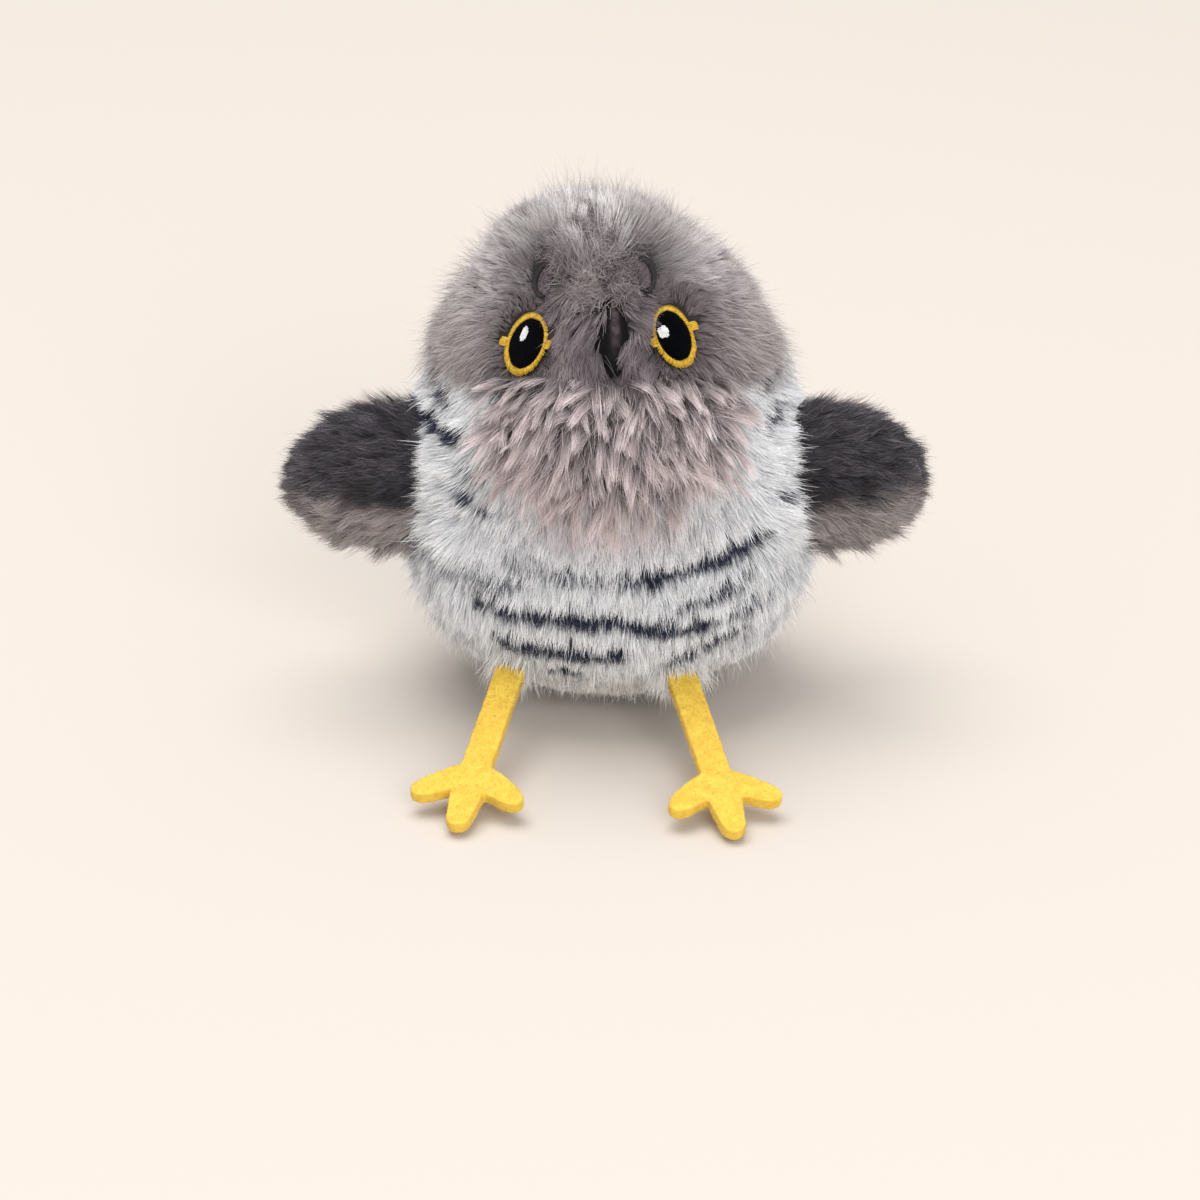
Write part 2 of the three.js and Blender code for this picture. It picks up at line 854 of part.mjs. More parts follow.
function buildEye(face, word, side) {
  const x = faceShift + (side * eyeSpacing) / 2;
  const z = eyeHeight + (side * eyeSpacing * faceRoll) / 2;
  const roll = side * eyeLean;
  const pupilHalfWidth = eyeHalfWidth - ringWidth;
  const pupilHalfHeight = eyeHalfHeight - (ringWidth + ringFoot) / 2;
  const pupilRise = (ringFoot - ringWidth) / 2;
  const cornerReach = eyeHalfWidth + cornerStitchLength;
  const corners = roundedRectangle(-cornerReach, cornerReach,
    -cornerStitchHalfHeight, cornerStitchHalfHeight, cornerStitchRound);
  const ring = joined(
    flatStitch(ellipseShape(0, 0, eyeHalfWidth, eyeHalfHeight)),
    flatStitch(corners, 2),
  ).subtract(stitchHole(ellipseShape(0, pupilRise, pupilHalfWidth, pupilHalfHeight)));
  addPiece(face, `${word}_eye_ring`, stitched(ring, x, z, roll), 'goldThread');

  const glintZ = pupilRise + glintRise;
  const pupil = flatStitch(
    ellipseShape(0, pupilRise, pupilHalfWidth - seamGap, pupilHalfHeight - seamGap),
  ).subtract(stitchHole(
    ellipseShape(glintX, glintZ, glintHalfWidth + seamGap, glintHalfHeight + seamGap), 6));
  addPiece(face, `${word}_pupil`, stitched(pupil, x, z, roll), 'blackThread');

  const glint = flatStitch(ellipseShape(glintX, glintZ, glintHalfWidth, glintHalfHeight), 6);
  addPiece(face, `${word}_eye_glint`, stitched(glint, x, z, roll), 'whiteThread');
}

function buildFace() {
  const face = addGroup('face', 0, 0, 0);
  for (const [word, side] of [['left', 1], ['right', -1]]) {
    buildEye(face, word, side);
    const x = browCentre + (side * browSpacing) / 2;
    const z = browHeight + (side * browSpacing * faceRoll) / 2;
    const brow = stitched(flatStitch(browShape(side), 6), x, z, 0);
    addPiece(face, `${word}_brow`, brow, 'darkThread');
  }
  buildBeak(face);
}

// An open arc that bows away from the beak
function browShape(side) {
  const middle = side > 0 ? 0 : Math.PI;
  const start = middle - browHalfSweep;
  const end = middle + browHalfSweep;
  const innerWidth = browHalfWidth - browThread;
  const innerHeight = browHalfHeight - browThread;
  const shape = new THREE.Shape();
  shape.absellipse(0, 0, browHalfWidth, browHalfHeight, start, end, false, 0);
  shape.absellipse(0, 0, innerWidth, innerHeight, end, start, true, 0);
  shape.closePath();
  return shape;
}

// Half of the beak's cross-section, as shares of its half width and of its reach
const beakSection = [[1, 0], [0.8, 0.45], [0.25, 0.9]];

// Share of the full width at a place along the beak, from its top at 0 to its tip at 1
function beakShare(part) {
  const arch = Math.sin(Math.PI * (0.12 + 0.78 * part)) ** 0.8;
  return beakLeastShare + (1 - beakLeastShare) * arch;
}

function buildBeak(face) {
  const rings = [];
  const steps = 6;
  for (let i = 0; i <= steps; i += 1) {
    const part = i / steps;
    const z = beakTop - beakLength * part;
    const half = (beakWidth / 2) * beakShare(part);
    const reach = beakReach * beakShare(part) * (beakTopReach + beakReachGain * part);
    const base = bodySurface(beakX, z).y;
    const place = (across, outward) => new THREE.Vector3(
      beakX + half * across, base - reach * outward, z);
    const root = (across) => new THREE.Vector3(beakX + half * across, base + plushThickness, z);
    rings.push([
      root(-1),
      ...beakSection.map(([across, outward]) => place(-across, outward)),
      place(0, 1),
      ...beakSection.toReversed().map(([across, outward]) => place(across, outward)),
      root(1),
    ]);
  }
  const beak = cut(loft(rings), bodyForm(seamGap));
  addPiece(face, 'beak', beak, 'velvet');
}

// Felt legs, hinged where they are sewn into the belly

function legPlace(side) {
  const x = side > 0 ? leftLegX : rightLegX;
  const standoff = feltThickness / 2 + legSeamGap;
  const seat = bodySurface(x, legRise);
  return seat.addScaledVector(bodyNormal(x, legRise), standoff);
}

function buildLegs() {
  for (const [word, side] of [['left', 1], ['right', -1]]) {
    const hinge = legPlace(side);
    const half = feltThickness / 2;
    const drop = hinge.z - floorClearance;
    const slope = Math.asin(drop / Math.hypot(legLength, half)) - Math.atan(half / legLength);
    const footStart = legLength - footLength;
    const toeEnd = legLength - toeRadius;
    const sideToeEnd = legLength - sideToeBack;
    const outlines = [
      taperedBar(0, 0, legHalfWidth, 0, -footStart, legHalfWidth),
      taperedBar(0, -footStart, legHalfWidth, 0, -toeEnd, toeRadius),
      ...[1, -1].map((way) => taperedBar(
        0, -footStart, sideToeRootHalfWidth, way * sideToeSpread, -sideToeEnd, toeRadius)),
    ];
    const plates = outlines.map((shape) => {
      const geometry = new THREE.ExtrudeGeometry(shape, {
        depth: feltThickness,
        bevelEnabled: false,
        curveSegments: 4,
      });
      geometry.translate(0, 0, -half);
      return toSolid(geometry);
    });
    const square = block(-legHalfWidth - overcut, legHalfWidth + overcut,
      0, 2 * legHalfWidth, -half - overcut, half + overcut);
    const seamRoll = new THREE.CylinderGeometry(half, half, 2 * legHalfWidth, 10);
    seamRoll.rotateZ(Math.PI / 2);
    const felt = joined(cut(joined(...plates), square), toSolid(seamRoll));
    const leg = addGroup(`${word}_leg_hinge`, hinge.x, hinge.y, hinge.z);
    leg.rotation.set(slope, 0, side * legHeading, 'ZYX');
    const mesh = new THREE.Mesh(
      toGeometry(felt), new THREE.MeshStandardMaterial(finishes.yellowFelt));
    mesh.name = `${word}_leg`;
    leg.add(mesh);
  }
}

// Wings and their levers

const leverBack = leverFront + leverThickness;
const leverMiddle = leverFront + leverThickness / 2;

function wingForm(side, inset) {
  const rings = [];
  const start = pivotX + leverBossRadius;
  for (let i = -1; i <= wingRings; i += 1) {
    const angle = (Math.max(0, i) / wingRings) * (Math.PI / 2) * wingTipFlat;
    const x = i < 0 ? start : wingRootX + (wingSpan - inset) * Math.sin(angle);
    const upper = Math.cos(angle);
    const lower = (1 - Math.sin(angle) ** wingLowerRoundness) ** (1 / wingLowerRoundness);
    const ring = [];
    for (let j = 0; j < wingSides; j += 1) {
      const turn = (2 * Math.PI * j) / wingSides;
      const share = Math.sin(turn) > 0 ? upper : lower;
      const y = leverMiddle + (wingHalfThickness - inset) * upper * Math.cos(turn);
      const z = wingHeight + (wingHalfHeight - inset) * share * Math.sin(turn);
      ring.push(new THREE.Vector3(side * x, y, z));
    }
    rings.push(ring);
  }
  return loft(rings);
}

// Everything that the body sweeps, seen from a wing that flaps
function bodySweep(side) {
  const form = toGeometry(bodyForm(wingClearance));
  const steps = 6;
  let swept = null;
  for (let i = 0; i <= steps; i += 1) {
    const angle = flapAngle * (1 - (2 * i) / steps);
    const copy = form.clone();
    copy.translate(-side * pivotX, 0, -moduleHeight);
    copy.rotateY(angle);
    copy.translate(side * pivotX, 0, moduleHeight);
    const solid = toSolid(copy);
    swept = swept ? swept.add(solid) : solid;
  }
  return swept;
}

function frontPanelRegion(shift) {
  const seamY = leverMiddle + wingSeamBack;
  const turnY = seamY - wingSeamRound;
  const turnZ = wingBandHeight + wingSeamRound;
  const shape = new THREE.Shape();
  shape.moveTo(-wide, wingBandHeight + shift);
  shape.lineTo(turnY, wingBandHeight + shift);
  shape.absarc(turnY, turnZ, wingSeamRound - shift, -Math.PI / 2, 0, false);
  shape.lineTo(seamY - shift, tall);
  shape.lineTo(-wide, tall);
  shape.closePath();
  return sideSlab(shape, -wide, wide, 3);
}

function leverForm(side, grow) {
  const x = (distance) => side * (pivotX + distance);
  const z = moduleHeight;
  const bars = [
    taperedBar(x(-leverInnerArm), z, leverEyeRadius + grow, x(0), z, leverBossRadius + grow),
    taperedBar(x(0), z, leverNeckRadius + grow, x(leverReach), z, leverTipRadius + grow),
  ];
  return joined(
    ...bars.map((shape) => slab(shape, leverFront - grow, leverBack + grow, 4)),
    rod(x(0), z, leverBossRadius + grow, leverFront - grow, leverBack + grow, 16),
  );
}

function buildWings() {
  for (const [word, side] of [['left', 1], ['right', -1]]) {
    const wing = addGroup(`${word}_wing`, side * pivotX, leverMiddle, moduleHeight);
    const sweep = bodySweep(side);
    const outer = cut(wingForm(side, 0), sweep);
    const shell = outer.subtract(wingForm(side, wingCover));
    addPiece(wing, `${word}_wing_front`, shell.intersect(frontPanelRegion(0)), 'charcoal');
    addPiece(wing, `${word}_wing_back`, shell.subtract(frontPanelRegion(-seamGap)), 'taupe');
    const fill = cut(
      wingForm(side, wingCover + seamGap), sweep, leverForm(side, cavityPlay));
    addPiece(wing, `${word}_wing_padding`, fill, 'padding');

    const eyeX = side * (pivotX - leverInnerArm);
    const drill = (distance, radius, sides) => rod(side * (pivotX + distance), moduleHeight,
      radius, leverFront - overcut, leverBack + overcut, sides);
    const lever = cut(
      joined(
        leverForm(side, 0),
        rod(eyeX, moduleHeight, leverPinRadius, leverFront, yokeBack - pinEndGap, 14),
      ),
      drill(0, pivotPinRadius + runningGap, 16),
      drill(leverReach, leverHoleRadius, 12),
      drill(leverReach - leverHolePitch, leverHoleRadius, 12),
    );
    addPiece(wing, `${word}_wing_lever`, lever, 'leverPlastic');
  }
}

// Planes of the mechanism, from the front to the back

const yokeFront = leverBack + planeGap;
const yokeBack = yokeFront + yokeThickness;
const crankFront = yokeBack + stageGap;
const crankBack = crankFront + crankGearThickness;
const wheelFront = crankBack + stageGap;
const wheelBack = wheelFront + wheelThickness;
const plateFront = wheelBack + planeGap;
const plateBack = plateFront + plateThickness;
const postFront = leverBack + leverSideGap;
const pivotPinFront = housingFront + housingWall + runningGap;
const pivotPinBack = postFront + pivotPinSeat;

function pitchRadius(teeth) {
  return (gearModule * teeth) / 2;
}

const crankAxis = new THREE.Vector2(0, moduleHeight);
const reductionAxis = new THREE.Vector2(Math.cos(reductionDirection), Math.sin(reductionDirection))
  .multiplyScalar(pitchRadius(crankTeeth) + pitchRadius(reductionPinionTeeth))
  .add(crankAxis);
const motorAxis = new THREE.Vector2(Math.cos(motorDirection), Math.sin(motorDirection))
  .multiplyScalar(pitchRadius(reductionWheelTeeth) + pitchRadius(motorPinionTeeth))
  .add(reductionAxis);

// The wing levers' travel at the yoke sets the crank's throw
const crankThrow = leverInnerArm * Math.sin(flapAngle);

function polar(radius, angle) {
  return new THREE.Vector2(radius * Math.cos(angle), radius * Math.sin(angle));
}

function involute(angle) {
  return Math.tan(angle) - angle;
}

// Outline of a spur gear whose first tooth points along the given angle
function gearShape(teeth, firstTooth, boreRadius) {
  const pitch = pitchRadius(teeth);
  const base = pitch * Math.cos(pressureAngle);
  const tip = pitch + gearModule * toothTip;
  const foot = pitch - gearModule * toothRoot;
  const halfTooth = Math.PI / (2 * teeth) - toothPlay / (4 * pitch) + involute(pressureAngle);
  const halfAt = (radius) => halfTooth - involute(Math.acos(Math.min(1, base / radius)));
  const flankStart = Math.max(base, foot);
  const flank = [flankStart, (flankStart + tip) / 2, tip].map((radius) => [radius, halfAt(radius)]);
  if (foot < flankStart) {
    flank.unshift([foot, halfAt(flankStart)]);
  }
  const points = [];
  for (let i = 0; i < teeth; i += 1) {
    const middle = firstTooth + (2 * Math.PI * i) / teeth;
    for (const [radius, half] of flank) {
      points.push(polar(radius, middle - half));
    }
    for (const [radius, half] of [...flank].reverse()) {
      points.push(polar(radius, middle + half));
    }
  }
  const shape = new THREE.Shape(points);
  shape.holes.push(circlePath(0, 0, boreRadius));
  return shape;
}

// The tooth angle that lets a gear mesh with its neighbour
function meshedTooth(teeth, towards, otherTeeth, otherTooth) {
  const share = ((towards - otherTooth) * otherTeeth) / (2 * Math.PI);
  return towards + Math.PI - ((0.5 - share) * 2 * Math.PI) / teeth;
}

function gearSlab(teeth, tooth, boreRadius, axis, yFront, yBack) {
  const geometry = new THREE.ExtrudeGeometry(gearShape(teeth, tooth, boreRadius), {
    depth: yBack - yFront,
    bevelEnabled: false,
    curveSegments: 7,
  });
  geometry.rotateX(Math.PI / 2);
  geometry.translate(axis.x, yBack, axis.y);
  return toSolid(geometry);
}

function buildGearTrain() {
  const crankTooth = Math.PI / crankTeeth;
  const pinionTooth = meshedTooth(
    reductionPinionTeeth, reductionDirection, crankTeeth, crankTooth);
  const wheelTooth = pinionTooth;
  const motorTooth = meshedTooth(
    motorPinionTeeth, motorDirection, reductionWheelTeeth, wheelTooth);

  const crank = addGroup('crank', crankAxis.x, crankBack, crankAxis.y);
  const crankBore = crankAxleRadius + runningGap;
  const headSeat = axleHeadThickness + runningGap;
  const pinX = crankAxis.x + crankThrow;
  const crankGear = joined(
    gearSlab(crankTeeth, crankTooth, crankBore, crankAxis, crankFront, crankBack),
    rod(pinX, crankAxis.y, crankPinRadius, yokeFront - pinEndGap, crankFront + weldDepth, 14),
  );
  const counterbore = rod(crankAxis.x, crankAxis.y, crankHeadRadius + runningGap,
    crankFront - overcut, crankFront + headSeat);
  const lightening = [];
  const ringRadius = (pitchRadius(crankTeeth) + crankThrow) / 2;
  for (let i = 0; i < crankHoles; i += 1) {
    const spot = polar(ringRadius, ((i + 0.5) * 2 * Math.PI) / crankHoles).add(crankAxis);
    lightening.push(rod(
      spot.x, spot.y, crankHoleRadius, crankFront - overcut, crankBack + overcut, 10));
  }
  addPiece(crank, 'crank_gear', cut(crankGear, counterbore, ...lightening), 'gearPlastic');

  const reduction = addGroup('reduction', reductionAxis.x, wheelFront, reductionAxis.y);
  const reductionBore = reductionAxleRadius + runningGap;
  const pinionFront = crankFront + pinionSetback;
  const reductionGear = joined(
    gearSlab(reductionPinionTeeth, pinionTooth, reductionBore, reductionAxis, pinionFront, wheelBack),
    gearSlab(reductionWheelTeeth, wheelTooth, reductionBore, reductionAxis, wheelFront, wheelBack),
  );
  addPiece(reduction, 'reduction_gear', reductionGear, 'gearPlastic');

  const drive = addGroup('motor_drive', motorAxis.x, wheelFront, motorAxis.y);
  const shaftBore = motorShaftRadius + runningGap;
  const motorPinion = gearSlab(
    motorPinionTeeth, motorTooth, shaftBore, motorAxis, wheelFront, wheelBack);
  addPiece(drive, 'motor_pinion', motorPinion, 'gearPlastic');
  const shaftBack = plateBack + runningGap + motorShaftSeat;
  const shaft = rod(motorAxis.x, motorAxis.y, motorShaftRadius, wheelFront, shaftBack, 12);
  addPiece(drive, 'motor_shaft', shaft, 'steel');

  const fixed = root.getObjectByName('module');
  addPiece(fixed, 'crank_axle', turned([
    [0, crankFront],
    [crankHeadRadius, crankFront],
    [crankHeadRadius, crankFront + axleHeadThickness],
    [crankAxleRadius, crankFront + axleHeadThickness],
    [crankAxleRadius, plateBack],
    [0, plateBack],
  ], crankAxis.x, crankAxis.y, 16), 'steel');
  addPiece(fixed, 'reduction_axle', turned([
    [0, pinionFront - runningGap - axleHeadThickness],
    [reductionHeadRadius, pinionFront - runningGap - axleHeadThickness],
    [reductionHeadRadius, pinionFront - runningGap],
    [reductionAxleRadius, pinionFront - runningGap],
    [reductionAxleRadius, plateBack],
    [0, plateBack],
  ], reductionAxis.x, reductionAxis.y, 14), 'steel');
}

function buildYoke() {
  const yoke = addGroup('yoke_slide', 0, yokeFront, moduleHeight);
  const z = moduleHeight;
  const eyeX = pivotX - leverInnerArm;
  const slotHalfLength = crankThrow + crankPinRadius + runningGap;
  const slotHalfHeight = crankPinRadius + yokeSlotOpening;
  const blockHalfWidth = slotHalfLength + yokeWall;
  const frame = joined(
    slab(roundedRectangle(-blockHalfWidth, blockHalfWidth, z - yokeBlockHalfHeight,
      z + yokeBlockHalfHeight, yokeCorner), yokeFront, yokeBack, 3),
    slab(roundedRectangle(-yokeStemHalfWidth, yokeStemHalfWidth, z - yokeStemReach,
      z + yokeStemReach, yokeStemCorner), yokeFront, yokeBack, 3),
    slab(taperedBar(-eyeX, z, yokeEyeRadius, eyeX, z, yokeEyeRadius), yokeFront, yokeBack, 4),
  );
  const crankSlot = slab(roundedRectangle(-slotHalfLength, slotHalfLength, z - slotHalfHeight,
    z + slotHalfHeight, slotHalfHeight), yokeFront - overcut, yokeBack + overcut, 2);
  const swing = leverInnerArm * (1 - Math.cos(flapAngle));
  const pinSpace = leverPinRadius + leverPinPlay;
  const pinSlots = [1, -1].map((side) => slab(
    taperedBar(side * eyeX, z, pinSpace, side * (eyeX + swing), z, pinSpace),
    yokeFront - overcut, yokeBack + overcut, 3));
  addPiece(yoke, 'yoke', cut(frame, crankSlot, ...pinSlots), 'leverPlastic');
}

function mirroredPairs(x, ...heights) {
  return heights.flatMap((z) => [[x, z], [-x, z]]);
}

const screwPlaces = mirroredPairs(screwX, screwLower, screwUpper);

function buildHousing() {
  const module = addGroup('module', 0, 0, 0);
  const z = moduleHeight;
  const inside = housingFront + housingWall;
  const posts = screwPlaces.map(([x, height]) => rod(
    x, height, postRadius, inside - weldDepth, housingSplit, 12));
  const pivotBosses = [1, -1].map((side) => rod(
    side * pivotX, z, pivotBossRadius, inside - weldDepth, leverFront - leverSideGap, 12));
  const guideBottom = z + crankThrow + yokeBlockHalfHeight + yokeEndGap;
  const guideTop = housingTop - housingWall + weldDepth;
  const guides = [];
  for (const side of [1, -1]) {
    const near = side * (yokeStemHalfWidth + runningGap);
    const far = near + side * guideWidth;
    const [left, right] = [Math.min(near, far), Math.max(near, far)];
    const guideFront = inside - weldDepth;
    guides.push(block(left, right, guideFront, yokeBack, guideBottom, guideTop));
    guides.push(block(left, right, guideFront, yokeBack, 2 * z - guideTop, 2 * z - guideBottom));
  }
  const frontShell = joined(
    cut(frontForm(0, housingSplit), frontForm(housingWall, housingSplit + overcut)),
    ...posts, ...pivotBosses, ...guides,
  );
  const screwHole = screwShankRadius + runningGap;
  const pinHole = pivotPinRadius + runningGap;
  const slotHalf = leverNeckRadius / Math.cos(flapAngle)
    + Math.tan(flapAngle) * (housingHalfWidth - pivotX) + tunnelPlay;
  const sideSlots = block(-wide, wide, leverFront - tunnelPlay, leverBack + tunnelPlay,
    z - slotHalf, z + slotHalf).subtract(block(
    -housingHalfWidth + housingWall + overcut, housingHalfWidth - housingWall - overcut,
    housingFront, housingSplit, housingBottom, housingTop));
  const grille = [];
  for (let i = 0; i < grilleSlots; i += 1) {
    const x = (i - (grilleSlots - 1) / 2) * grillePitch;
    const reach = Math.sqrt(Math.max(1, (speakerRadius - grilleEdge) ** 2 - x * x));
    grille.push(block(x - grilleSlotWidth / 2, x + grilleSlotWidth / 2,
      speakerY - reach, speakerY + reach,
      housingBottom - overcut, housingBottom + housingWall + overcut));
  }
  const frontCuts = [
    ...screwPlaces.map(([x, height]) => rod(
      x, height, screwHole, screwSeat - screwLength - overcut, housingSplit + overcut, 10)),
    ...[1, -1].map((side) => rod(
      side * pivotX, z, pinHole, pivotPinFront - pinEndGap, leverFront, 12)),
    sideSlots, ...grille,
  ];
  addPiece(module, 'housing_front', cut(frontShell, ...frontCuts), 'shellPlastic');

  const towers = screwPlaces.map(([x, height]) => rod(
    x, height, screwHeadRadius + screwHeadPlay + screwTowerWall, rearStart, housingBack, 12));
  const boardPosts = mirroredPairs(boardPostX, boardTop - boardPostDrop, boardBottom + boardPostDrop)
    .map(([x, height]) => rod(
      x, height, boardPostRadius, boardFront + boardThickness + runningGap, housingBack, 8));
  const dome = rearForm(0, rearStart);
  const rearShell = joined(
    dome.subtract(rearForm(housingWall, rearStart - overcut)),
    joined(...towers, ...boardPosts).intersect(dome),
    collarForm(0, housingBack - housingWall, collarBack),
  );
  const buttonZ = collarHeight;
  const mouthStart = collarBack - housingWall - overcut;
  const mouthEnd = collarBack + overcut;
  const rearCuts = [
    ...screwPlaces.map(([x, height]) => rod(
      x, height, screwHeadRadius + screwHeadPlay, screwSeat - runningGap, wide, 12)),
    ...screwPlaces.map(([x, height]) => rod(
      x, height, screwHole, rearStart - overcut, screwSeat, 10)),
    collarForm(-housingWall, housingBack - housingWall - overcut, collarBack - housingWall),
    rod(buttonX, buttonZ, buttonRadius + runningGap, mouthStart, mouthEnd, 20),
    slab(roundedRectangle(
      socketX - socketHalfWidth - runningGap, socketX + socketHalfWidth + runningGap,
      buttonZ - socketHalfHeight - runningGap, buttonZ + socketHalfHeight + runningGap,
      socketHalfHeight), mouthStart, mouthEnd, 3),
    rod(socketX, buttonZ + lightRise, lightRadius + runningGap, mouthStart, mouthEnd, 12),
  ];
  addPiece(module, 'housing_rear', cut(rearShell, ...rearCuts), 'shellPlastic');

  screwPlaces.forEach(([x, height], index) => {
    const screw = turned([
      [0, screwSeat + screwHeadHeight],
      [screwCrownRadius, screwSeat + screwHeadHeight],
      [screwHeadRadius, screwSeat + screwEdgeHeight],
      [screwHeadRadius, screwSeat],
      [screwShankRadius, screwSeat],
      [screwShankRadius, screwSeat - screwLength + screwTipLength],
      [0, screwSeat - screwLength],
    ], x, height, 10);
    const slotFoot = screwSeat + screwHeadHeight - screwSlotDepth;
    const slot = block(x - screwSlotHalfWidth, x + screwSlotHalfWidth, slotFoot,
      slotFoot + 2 * screwHeadHeight, height - screwSlotHalfLength, height + screwSlotHalfLength);
    addPiece(module, `housing_screw_${index + 1}`, screw.subtract(slot), 'steel');
  });
}

function buildPlate() {
  const module = root.getObjectByName('module');
  const inset = housingWall + runningGap;
  const outline = roundedRectangle(-housingHalfWidth + inset, housingHalfWidth - inset,
    housingBottom + inset, housingTop - inset, housingCorner - inset);
  const pivotPosts = [1, -1].map((side) => rod(
    side * pivotX, moduleHeight, pivotBossRadius, postFront, plateFront + weldDepth, 12));
  const through = [plateFront - overcut, plateBack + overcut];
  const holes = [
    ...screwPlaces.map(([x, height]) => rod(
      x, height, postRadius + runningGap, ...through, 12)),
    ...[1, -1].map((side) => rod(side * pivotX, moduleHeight,
      pivotPinRadius + runningGap, postFront - overcut, pivotPinBack + runningGap, 12)),
    rod(crankAxis.x, crankAxis.y, crankAxleRadius + runningGap, ...through, 12),
    rod(reductionAxis.x, reductionAxis.y, reductionAxleRadius + runningGap, ...through, 12),
    rod(motorAxis.x, motorAxis.y, motorBossRadius + runningGap, ...through, 14),
    block(speakerLeadX - leadNotchHalfWidth, speakerLeadX + leadNotchHalfWidth, ...through,
      housingBottom, housingBottom + inset + leadNotchHeight),
  ];
  const plate = cut(joined(slab(outline, plateFront, plateBack, 4), ...pivotPosts), ...holes);
  addPiece(module, 'gearbox_plate', plate, 'shellPlastic');

  for (const [word, side] of [['left', 1], ['right', -1]]) {
    const pin = rod(side * pivotX, moduleHeight, pivotPinRadius, pivotPinFront, pivotPinBack, 12);
    addPiece(module, `${word}_pivot_pin`, pin, 'steel');
  }
}

